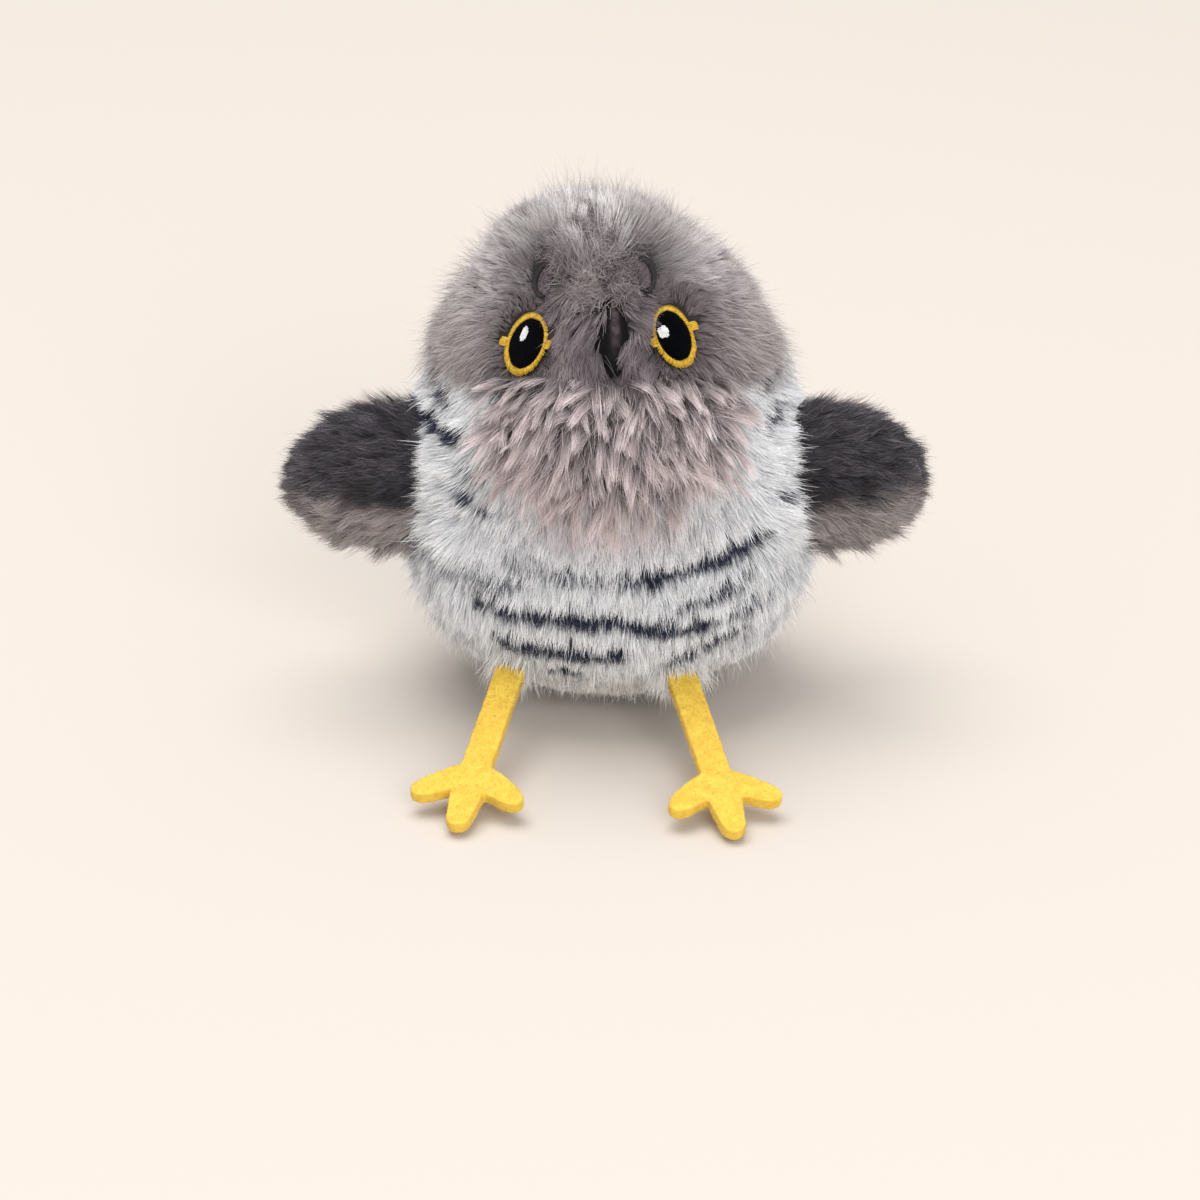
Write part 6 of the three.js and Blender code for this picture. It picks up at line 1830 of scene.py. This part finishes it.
@dataclass
class Brow:
    """A stitched arc that bows away from the beak."""

    eye: Eye
    word: str
    patch: Patch
    side: int
    half_width: float = 2.9
    half_height: float = 4.4
    thread: float = 0.8
    half_sweep: float = 1.75

    def build(self) -> None:
        """Sews the dark arc, partly real stitching and partly painted shade of the crease, and the
        mauve threads inside it.
        """
        middle = 0 if self.side > 0 else math.pi
        turn = np.linspace(middle - self.half_sweep, middle + self.half_sweep, 44)
        width, height = self.half_width, self.half_height
        inner = (width - self.thread) * np.cos(turn), (height - self.thread) * np.sin(turn)
        self.eye = replace(self.eye, word=self.word, patch=self.patch)
        # The dark thread is partly the stitched arc and partly painted shade of the crease beside
        # it.
        arc = self.eye.threads(f"{self.word}_brow_crease", *inner, width * np.cos(turn),
                               height * np.sin(turn), 0.35, "dark_thread", radius=0.24, lift=0.8)
        self.eye.finish(arc, "dark_thread", f"{self.word}_brow")
        rows = np.linspace(-0.85, 0.85, 22)
        start = np.full(len(rows), -0.35 * width * self.side)
        end = (width - self.thread) * np.sqrt(1 - rows ** 2) * self.side
        v = rows * (height - self.thread)
        pad = self.eye.threads(f"{self.word}_brow_threads", start, v - 0.5, end, v, 0.2,
                               "mauve_thread", radius=0.17, lift=0.8, points=7)
        self.eye.wardrobe.fit(pad, "mauve_thread", "toy_body", slot="dark_thread")

    def away(self, points: Array) -> Array:
        """Distance from the middle as a share of the arc's size."""
        return self.patch.away(points, self.half_width, self.half_height)

    def covers(self, points: Array) -> Array:
        """Says which places lie over the arc."""
        u, _ = self.patch.local(points)
        return (self.away(points) < 1.12) & (self.side * u > -1.0)


@dataclass
class Face:
    """Eyes, brows and beak."""

    wardrobe: Wardrobe
    stitches: StitchTree = field(default_factory=StitchTree)
    form: BodyForm = BodyForm()
    shift: float = -2.5
    eye_spacing: float = 34.6
    eye_height: float = 100.3
    face_roll: float = 0.05
    eye_lean: float = 0.25
    brow_height: float = 113.6
    brow_spacing: float = 22.5
    brow_centre: float = -3.8
    beak_x: float = 0.3
    beak_top: float = 109.5
    beak_length: float = 17.5
    beak_width: float = 8.0
    beak_reach: float = 2.6

    def __post_init__(self) -> None:
        """Places the eyes and brows."""
        self.eyes = [
            Eye(self.wardrobe, self.stitches, word, Patch(
                self.form, self.shift + side * self.eye_spacing / 2,
                self.eye_height + side * self.eye_spacing * self.face_roll / 2,
                side * self.eye_lean), *details)
            for word, side, details in (
                ("left", 1, ((1.2, 1.5), (-0.5, 2.0), (1.0, 1.8))),
                ("right", -1, ((0.6, 1.9), (0.0, 1.0), (1.6, 0.8))))]
        self.brows = [
            Brow(eye, word, Patch(
                self.form, self.brow_centre + side * self.brow_spacing / 2,
                self.brow_height + side * self.brow_spacing * self.face_roll / 2), side)
            for eye, (word, side) in zip(self.eyes, (("left", 1), ("right", -1)))]

    def beak_share(self, part: Array) -> Array:
        """Share of the beak's full width from its top at 0 to its tip at 1."""
        return 0.18 + 0.82 * np.sin(math.pi * (0.12 + 0.78 * part)) ** 0.8

    def nearness(self, points: Array) -> Array:
        """How close places are to an eye or a brow, from 0 to 1."""
        return np.maximum.reduce([*(eye.nearness(points) for eye in self.eyes),
                                  *(step(2.2, 1.0, brow.away(points)) for brow in self.brows)])

    def hollow_shade(self, points: Array) -> Array:
        """How much painted shade darkens the fur in the hollows round the beak, the eyes and the
        brows, from 0 to 1.
        """
        x, z = points[:, 0] - self.beak_x, points[:, 2]
        beak = np.exp(-(x / 4.8) ** 2 - ((z - 97) / 10) ** 2)
        eyes = [0.65 * np.exp(-((eye.away(points) - 1.1) / 0.6) ** 2) for eye in self.eyes]
        brows = [np.exp(-(brow.away(points) / 2.3) ** 2) for brow in self.brows]
        return np.clip(np.maximum.reduce([beak, *eyes, *brows]), 0, 1)

    def covers(self, root: Array, middle: Array) -> Array:
        """Says which strands would hide the eyes, the brows or the beak."""
        front = root[:, 1] < 0
        hidden = np.zeros(len(root), bool)
        stray = waves(root, 1.2, 99) > 0.8
        for eye in self.eyes:
            hidden |= eye.covers(root) | (eye.covers(middle) & ~stray)
        for brow in self.brows:
            hidden |= brow.covers(root) | brow.covers(middle)
        part = (self.beak_top - root[:, 2]) / self.beak_length
        width = 0.5 * self.beak_width * self.beak_share(np.clip(part, 0, 1))
        hidden |= (part > 0.04) & (part < 0.85) & (np.abs(root[:, 0] - self.beak_x) < 0.62 * width)
        over = (middle[:, 2] < self.beak_top - 2) & (middle[:, 2] > self.beak_top - 12.5)
        hidden |= over & (np.abs(middle[:, 0] - self.beak_x - 0.2) < 1.5)
        return hidden & front

    def build(self) -> None:
        """Sews the eyes and brows and folds the beak."""
        for eye in self.eyes:
            eye.build()
        for brow in self.brows:
            brow.build()
        self.build_beak()

    def build_beak(self) -> None:
        """Folds velvet into a ridge between two lips."""
        rows, turns = 36, 33
        section = np.array([
            (-1.0, 0.0), (-0.95, 0.22), (-0.72, 0.3), (-0.42, 0.12), (-0.2, 0.45), (0.12, 0.8),
            (0.42, 0.7), (0.6, 0.4), (0.8, 0.3), (0.96, 0.2), (1.0, 0.0)])
        u = np.linspace(0, 1, turns)
        knots = np.linspace(0, 1, len(section))
        across, outward = (np.interp(u, knots, values) for values in section.T)
        for values in (across, outward, across, outward):
            values[1:-1] = np.convolve(values, np.array([0.25, 0.5, 0.25]), "valid")
        part = np.linspace(0, 1, rows)
        share = self.beak_share(part)
        z = self.beak_top - self.beak_length * part
        half = self.beak_width / 2 * share
        reach = self.beak_reach * share * (0.55 + 0.6 * part)
        x = self.beak_x + half[:, None] * across
        base = self.form.front(np.full(rows, self.beak_x), z)[:, 1]
        y = base[:, None] - reach[:, None] * outward + 0.25
        points = np.stack([x, y, np.broadcast_to(z[:, None], x.shape)], -1)
        back = points.copy()
        back[..., 1] = base[:, None] + 2.0
        count = rows * turns
        number = np.arange(count).reshape(rows, turns)
        faces = np.stack([number[:-1, :-1], number[1:, :-1], number[1:, 1:], number[:-1, 1:]],
                         -1).reshape(-1, 4).tolist()
        grid = points.reshape(-1, 3)
        rims = np.concatenate([number[:, 0], number[-1, 1:], number[-2::-1, -1],
                               number[0, -2:0:-1]]).tolist()
        closed = np.vstack([grid, back.reshape(-1, 3)[rims]])
        for k, corner in enumerate(rims):
            after = (k + 1) % len(rims)
            faces.append([rims[after], corner, count + k, count + after])
        faces.append([count + k for k in range(len(rims))])
        beak = shaped("beak_fold", closed, faces)
        # Only the ridge, where the fold stands out furthest, gets the mauve of the velvet. The
        # flanks, the lower end and the back are near-black as painted shade of the slit.
        ridge = step(0.4, 0.95, outward)[None, :] * step(0.7, 0.25, part)[:, None]
        ridge = ridge * np.clip(0.7 + 0.3 * waves(grid, 1.6, 77), 0, 1).reshape(ridge.shape)
        low, high = np.array(linear("060304")), np.array(linear("5c4f53"))
        shades = low + ridge[..., None] * (high - low)
        dark = np.tile(low, (len(rims), 1))
        paint(beak, np.vstack([shades.reshape(-1, 3), dark]))
        self.wardrobe.fit(beak, "velvet", "toy_body", "beak")


# Wings

@dataclass
class Wing:
    """A stuffed mitten wing: cloth, fur and the seam between its two cloths."""

    wardrobe: Wardrobe
    fur: Fur
    word: str
    side: int
    span: float
    root_x: float = 50.0
    inner_x: float = 41.0
    half_height: float = 18.5
    half_thickness: float = 8.5
    height: float = 58.0
    middle_y: float = -8.0
    band: float = 46.0
    overhang: float = 9.0
    lower_roundness: float = 2.6
    inset: float = 1.4
    comb_x: float = 34.0
    bend_start: float = 43.0
    bend_end: float = 58.0
    bend_height: float = 56.0
    sides: int = 56

    def grid(self) -> tuple[Array, Array]:
        """Points and quads of the wing's cloth, root to tip."""
        root_rows, rows = 5, 26
        angles = np.concatenate([np.zeros(root_rows), np.linspace(0, math.pi / 2 - 0.02, rows)])
        x = np.concatenate([np.linspace(self.inner_x, self.root_x, root_rows, endpoint=False),
                            self.root_x + (self.span - self.inset) * np.sin(angles[root_rows:])])
        upper = np.cos(angles)
        lower = (1 - np.sin(angles) ** self.lower_roundness) ** (1 / self.lower_roundness)
        turn = np.linspace(0, 2 * math.pi, self.sides, endpoint=False)[None]
        share = np.where(np.sin(turn) > 0, upper[:, None], lower[:, None])
        y = self.middle_y + (self.half_thickness - self.inset) * upper[:, None] * np.cos(turn)
        z = self.height + (self.half_height - self.inset) * share * np.sin(turn)
        seam = np.exp(-((z - self.band) / 1.3) ** 2) * (y < self.middle_y)
        y = y + 0.8 * seam
        x = np.broadcast_to(x[:, None], y.shape)
        points = np.stack([self.side * x, y, z], -1).reshape(-1, 3)
        return points, tube_quads(len(angles), self.sides)[:, ::-self.side]

    def tints(self, root: Array, middle: Array) -> Tints:
        """Charcoal in front and above, taupe below and behind."""
        tints = Tints.plain(len(root), "6a5f5c", "b5aba9")
        ragged = 1.6 * waves(root, 6, 31) + 1.2 * waves(root, 1.2, 32)
        edge = self.band + self.overhang + 3.0 * step(54, 72, np.abs(root[:, 0])) - 2.0
        dark = step(edge - 2.5, edge + 2.5, middle[:, 2] + ragged) * (
            middle[:, 1] < self.middle_y + 1.5)
        # Three in ten of the dark strands, picked at random, get lighter tips as painted
        # highlights.
        highlit_strands = np.random.default_rng(35).uniform(0, 1, len(root)) < 0.3
        tints = tints.towards(dark, "141216", "423e44").towards(dark * highlit_strands, "242126", "716b73")
        reach = np.abs(root[:, 0])
        # Painted shade in the crease across the wing near its root.
        crease_shade = np.exp(-((root[:, 2] - 57) / 4.0) ** 2) * step(66, 52, reach)
        tints = tints.towards(0.75 * crease_shade * dark, "0d0b0e", "262327")
        tints = tints.towards(0.6 * step(68, 76, reach), "3a3437", "6f686b")
        streaks = np.clip(waves(root * np.array([0.35, 1, 1]), 5, 34), 0, 1) * dark
        return tints.towards(0.4 * streaks, "0f0d10", "39353a")

    def build(self) -> None:
        """Makes the cloth and the fur."""
        points, faces = self.grid()
        normals = normals_of(points, faces)
        centre = points.reshape(-1, self.sides, 3).mean(1)
        if ((points - np.repeat(centre, self.sides, 0)) * normals).sum() < 0:
            faces = faces[:, ::-1]
            normals = -normals
        count = len(points)
        caps = [list(range(self.sides))[::-self.side],
                list(range(count - self.sides, count))[::self.side]]
        cloth = shaped(f"{self.word}_wing_cloth", points, [*faces.tolist(), *caps])
        edited(cloth, lambda mesh: bmesh.ops.recalc_face_normals(mesh, faces=mesh.faces))
        # The cloth takes the fur's root colour, darkened further as painted shade under the pile.
        paint(cloth, self.tints(points, points).root * 0.8)
        self.wardrobe.dress(cloth, "ground_cloth", "charcoal_plush")
        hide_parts(f"{self.word}_wing_front", f"{self.word}_wing_back")
        self.bend(cloth)
        log.info("%s: %d faces", cloth.name, len(faces))
        root = np.array([self.side * self.comb_x, self.middle_y, self.height - 1])
        away = along_surface(points - root, normals)
        outward = np.array([self.side * 1.0, 0, -0.1])
        flat = unit(away + 0.8 * along_surface(outward, normals))
        near_seam = np.exp(-((points[:, 2] - self.band) / 1.5) ** 2) * (points[:, 1] < -8)
        tip = step(62, 74, np.abs(points[:, 0]))
        edges = step(12, 17, np.abs(points[:, 2] - self.height))
        pile = 5.4 + 0.8 * waves(points, 8, 33) - 1.5 * near_seam - 0.8 * tip + 1.2 * edges
        style = PileStyle(9.2, 0.19, seed=50 + self.side, clump_spacing=2.4, clump_pull=0.4,
                          clump_lean=0.3, clump_length=0.2, clump_tone=0.2, spread=0.18,
                          curl=1.6)
        halo = replace(style, density=1.3, width=0.1, spread=0.4, clump_pull=0.1, curl=2.5,
                       seed=60 + self.side)
        host = Host(points, faces, lifted(flat, normals, 42), lifted(flat, normals, 18), pile)
        for word, hairs, length, start in (("fur", style, pile, 3),
                                           ("wisps", halo, 7.5 - 1.5 * tip, 6)):
            self.bend(self.fur.patch(
                f"{self.word}_wing_{word}", replace(host, pile=length), hairs, "charcoal_plush",
                lambda root, middle: np.abs(root[:, 0]) > self.inner_x + start, self.tints))

    def bend(self, piece: Piece) -> None:
        """Bakes a piece's placement into its mesh."""
        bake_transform(piece)


# Soft pieces that keep their packed form

@dataclass
class Softened:
    """Soft pieces made from a packed form: felt legs and filling."""

    wardrobe: Wardrobe
    fur: Fur
    toe_start: float = 45.0
    side_toe_start: float = 38.0
    toe_taper: float = 0.3
    toe_shortening: float = 0.2

    @staticmethod
    def copy(node: str, name: str, voxel: float) -> Piece:
        """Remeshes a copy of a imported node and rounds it.

        Args:
            node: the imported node.
            name: the new piece's name.
            voxel: the size of the new faces in millimetres.

        Returns:
            The new object.
        """
        packed = frame["nodes"][node]
        source = new_object(f"{node}_source", packed.data.copy())
        source.data.transform(packed.matrix_world)
        edited(source, lambda mesh: bmesh.ops.remove_doubles(mesh, verts=mesh.verts, dist=1e-6))
        source.data.materials.clear()
        remesh = source.modifiers.new("remesh", "REMESH")
        remesh.mode, remesh.voxel_size = "VOXEL", voxel * MM
        relax = source.modifiers.new("relax", "SMOOTH")
        relax.factor, relax.iterations = 0.5, 2
        piece = applied(source, name)
        piece.data.shade_smooth()
        return piece

    @staticmethod
    def surface(piece: Piece) -> tuple[Array, Array, Array]:
        """Points in millimetres, quads and outward directions of a piece."""
        points = points_of(piece.data)
        faces = np.array([list(face.vertices) for face in piece.data.polygons
                          if len(face.vertices) == 4])
        return points, faces, normals_of(points, faces)

    def tapered(self, word: str, points: Array) -> Array:
        """Narrows and shortens the toes of a leg, whose outlines are plain bars."""
        joint = next(j for j in frame["joints"] if j["name"] == f"{word}_leg_swing")
        across = unit(np.array(joint["axis"]))
        from_hinge = points - np.array(joint["pos_m"]) / MM
        far = from_hinge[np.linalg.norm(from_hinge, axis=1).argmax()]
        along = unit(far - far @ across * across)
        u, t = from_hinge @ across, from_hinge @ along
        start, side_start = self.toe_start, self.side_toe_start
        middle_toe = step(start, start + 3, t) * step(5.2, 4.6, np.abs(u))
        narrow = self.toe_taper * step(start, start + 13, t)
        shorter = self.toe_shortening * np.maximum(0, t - start)
        way = unit(np.array([9.8, 7.0]))
        side = np.sign(u)
        reach = np.abs(u) * way[0] + (t - side_start) * way[1]
        off = -np.abs(u) * way[1] + (t - side_start) * way[0]
        side_toe = (1 - middle_toe) * step(3.0, 6.0, np.abs(u)) * self.toe_taper
        pinch = side_toe * step(4, 15, reach) * off
        moved = points - (middle_toe * narrow * u)[:, None] * across
        moved -= (middle_toe * shorter)[:, None] * along
        moved += (pinch * way[1] * side)[:, None] * across - (pinch * way[0])[:, None] * along
        return moved

    def build_leg(self, word: str) -> None:
        """Makes one felt leg with a fuzzy surface."""
        leg = self.copy(f"{word}_leg", f"{word}_leg_felt", 0.4)
        points, faces, normals = self.surface(leg)
        points = self.tapered(word, points)
        bumps = 0.05 * waves(points, 4.0, 60) + 0.03 * waves(points, 1.0, 61)
        points = points + normals * bumps[:, None]
        points[:, 2] = np.maximum(points[:, 2], FLOOR_CLEARANCE)
        place_points(leg.data, points)
        leg.data.update()
        self.wardrobe.fit(leg, "yellow_felt", f"{word}_leg", f"{word}_leg")
        rng = np.random.default_rng(62)
        flat = along_surface(rng.normal(size=points.shape), normals)
        host = Host(points, faces, lifted(flat, normals, 40), lifted(flat, normals, -5),
                    np.full(len(points), 0.8))
        style = PileStyle(4.0, 0.08, segments=2, spread=0.6, roll=60, clump_spacing=1.0,
                          clump_pull=0.2, curl=0.3, seed=63)
        fuzz = self.fur.patch(f"{word}_leg_fuzz", host, style, "yellow_fuzz",
                              lambda root, middle: root[:, 2] > 0.4, self.felt_tints)
        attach(fuzz, f"{word}_leg")

    @staticmethod
    def felt_tints(root: Array, middle: Array) -> Tints:
        """Loose fibres of the felt, with painted shade on the upper legs under the body."""
        tints = Tints.plain(len(root), "c99e2e", "ebc74e")
        # Painted shade of the body on the upper legs.
        return tints.towards(step(-58, -36, root[:, 1]), "94721a", "c39b24")

    def build_filling(self) -> None:
        """Makes the loose filling of the body and the wings."""
        for node, body, voxel in (("body_stuffing", "toy_body", 1.6),
                                  ("left_wing_padding", "left_wing", 1.0),
                                  ("right_wing_padding", "right_wing", 1.0)):
            piece = self.copy(node, f"{node}_fibre", voxel)
            points, _, normals = self.surface(piece)
            inset = -0.35 + 0.25 * waves(points, 6.0, 70) + 0.1 * waves(points, 2.5, 71)
            place_points(piece.data, points + normals * np.minimum(inset, 0.0)[:, None])
            piece.data.update()
            self.wardrobe.fit(piece, "fibre_filling", body, node)


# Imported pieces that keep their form, by finish
NODE_FINISHES = {
    "hook_and_loop": ("hook_strip", "loop_strip"),
    "shell_plastic": ("housing_front", "housing_rear", "gearbox_plate"),
    "steel": ("housing_screw_1", "housing_screw_2", "housing_screw_3", "housing_screw_4",
              "left_pivot_pin", "right_pivot_pin", "crank_axle", "reduction_axle", "motor",
              "touch_sensor", "usb_socket", "motor_shaft"),
    "gear_plastic": ("crank_gear", "reduction_gear", "motor_pinion"),
    "lever_plastic": ("left_wing_lever", "right_wing_lever", "yoke"),
    "battery_wrap": ("battery",),
    "board_laminate": ("circuit_board",),
    "black_plastic": ("speaker", "tact_switch"),
    "clear_plastic": ("charge_light",),
    "lead_sleeve": ("battery_lead", "motor_lead", "speaker_lead"),
    "red_plastic": ("power_button",),
}


# The stage

@dataclass(frozen=True)
class SoftBox:
    """One large soft lamp."""

    name: str
    place: tuple[float, float, float]
    target: tuple[float, float, float]
    width: float
    power: float

    def build(self) -> None:
        """Hangs the lamp."""
        lamp = bpy.data.lights.new(self.name, "AREA")
        lamp.shape = "DISK"
        lamp.size, lamp.energy = self.width, self.power
        holder = new_object(self.name, lamp)
        way = np.array(self.target) - np.array(self.place)
        distance = float(np.linalg.norm(way))
        holder.location = self.place
        holder.rotation_euler = (
            math.acos(-way[2] / distance), 0.0, math.atan2(-way[0], way[1]))


@dataclass
class Studio:
    """Floor, lamps and camera."""

    elevation: float = 25.0
    distance: float = 0.9
    look: tuple[float, float, float] = (-0.0025, 0.0, 0.021)
    lens: float = 108.0

    def build(self) -> None:
        """Sets the stage."""
        scene = bpy.context.scene
        scene.view_settings.view_transform = "Standard"
        self.build_world()
        self.build_floor()
        for box in (
            SoftBox("top_light", (-0.3, 0.3, 2.4), (0, 0, 0.05), 2.3, 51.0),
            SoftBox("front_light", (0.6, -2.0, 1.1), (0, 0, 0.06), 1.5, 30.0),
        ):
            box.build()
        lens = bpy.data.cameras.new("camera")
        lens.lens = self.lens
        lens.sensor_width = 36.0
        camera = new_object("camera", lens)
        tilt = math.radians(self.elevation)
        camera.location = (self.look[0], self.look[1] - self.distance * math.cos(tilt),
                           self.look[2] + self.distance * math.sin(tilt))
        camera.rotation_euler = (math.pi / 2 - tilt, 0.0, 0.0)
        scene.camera = camera

    @staticmethod
    def build_world() -> None:
        """Fills the shadows with even light."""
        world = bpy.data.worlds.new("world")
        bpy.context.scene.world = world
        world.use_nodes = True
        background = world.node_tree.nodes["Background"]
        background.inputs["Color"].default_value = (0.97, 0.98, 1.0, 1)
        background.inputs["Strength"].default_value = 0.68

    @staticmethod
    def build_floor() -> None:
        """Lays the pale floor."""
        half = 4000.0
        corners = np.array([[-half, -half, 0], [half, -half, 0], [half, half, 0], [-half, half, 0]])
        floor = shaped("floor", corners, [[0, 1, 2, 3]])
        material = bpy.data.materials.new("floor")
        material.use_nodes = True
        shader = material.node_tree.nodes["Principled BSDF"]
        shader.inputs["Base Color"].default_value = (*linear("cec5bc"), 1)
        shader.inputs["Roughness"].default_value = 0.9
        shader.inputs["Specular IOR Level"].default_value = 0.2
        floor.data.materials.append(material)


def main() -> None:
    """Builds the bird piece by piece and reports each."""
    logging.basicConfig(level=logging.INFO, format="%(message)s")
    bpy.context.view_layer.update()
    Studio().build()
    wardrobe = Wardrobe()
    fur = Fur(wardrobe)
    face = Face(wardrobe)
    face.build()
    body = PlushBody(wardrobe, fur, face)
    body.build_cloth()
    body.build_hood_fur()
    body.build_closure_fur()
    body.build_belly_fur()
    body.build_bib()
    for word, side, span in (("left", 1, 25.5), ("right", -1, 28.0)):
        Wing(wardrobe, fur, word, side, span).build()
    soft = Softened(wardrobe, fur)
    for word in ("left", "right"):
        soft.build_leg(word)
    soft.build_filling()
    for finish, nodes in NODE_FINISHES.items():
        for node in nodes:
            wardrobe.repaint(frame["nodes"][node], finish)
    log.info("strands in all: %d", fur.strands)


if __name__ == "__main__":
    main()
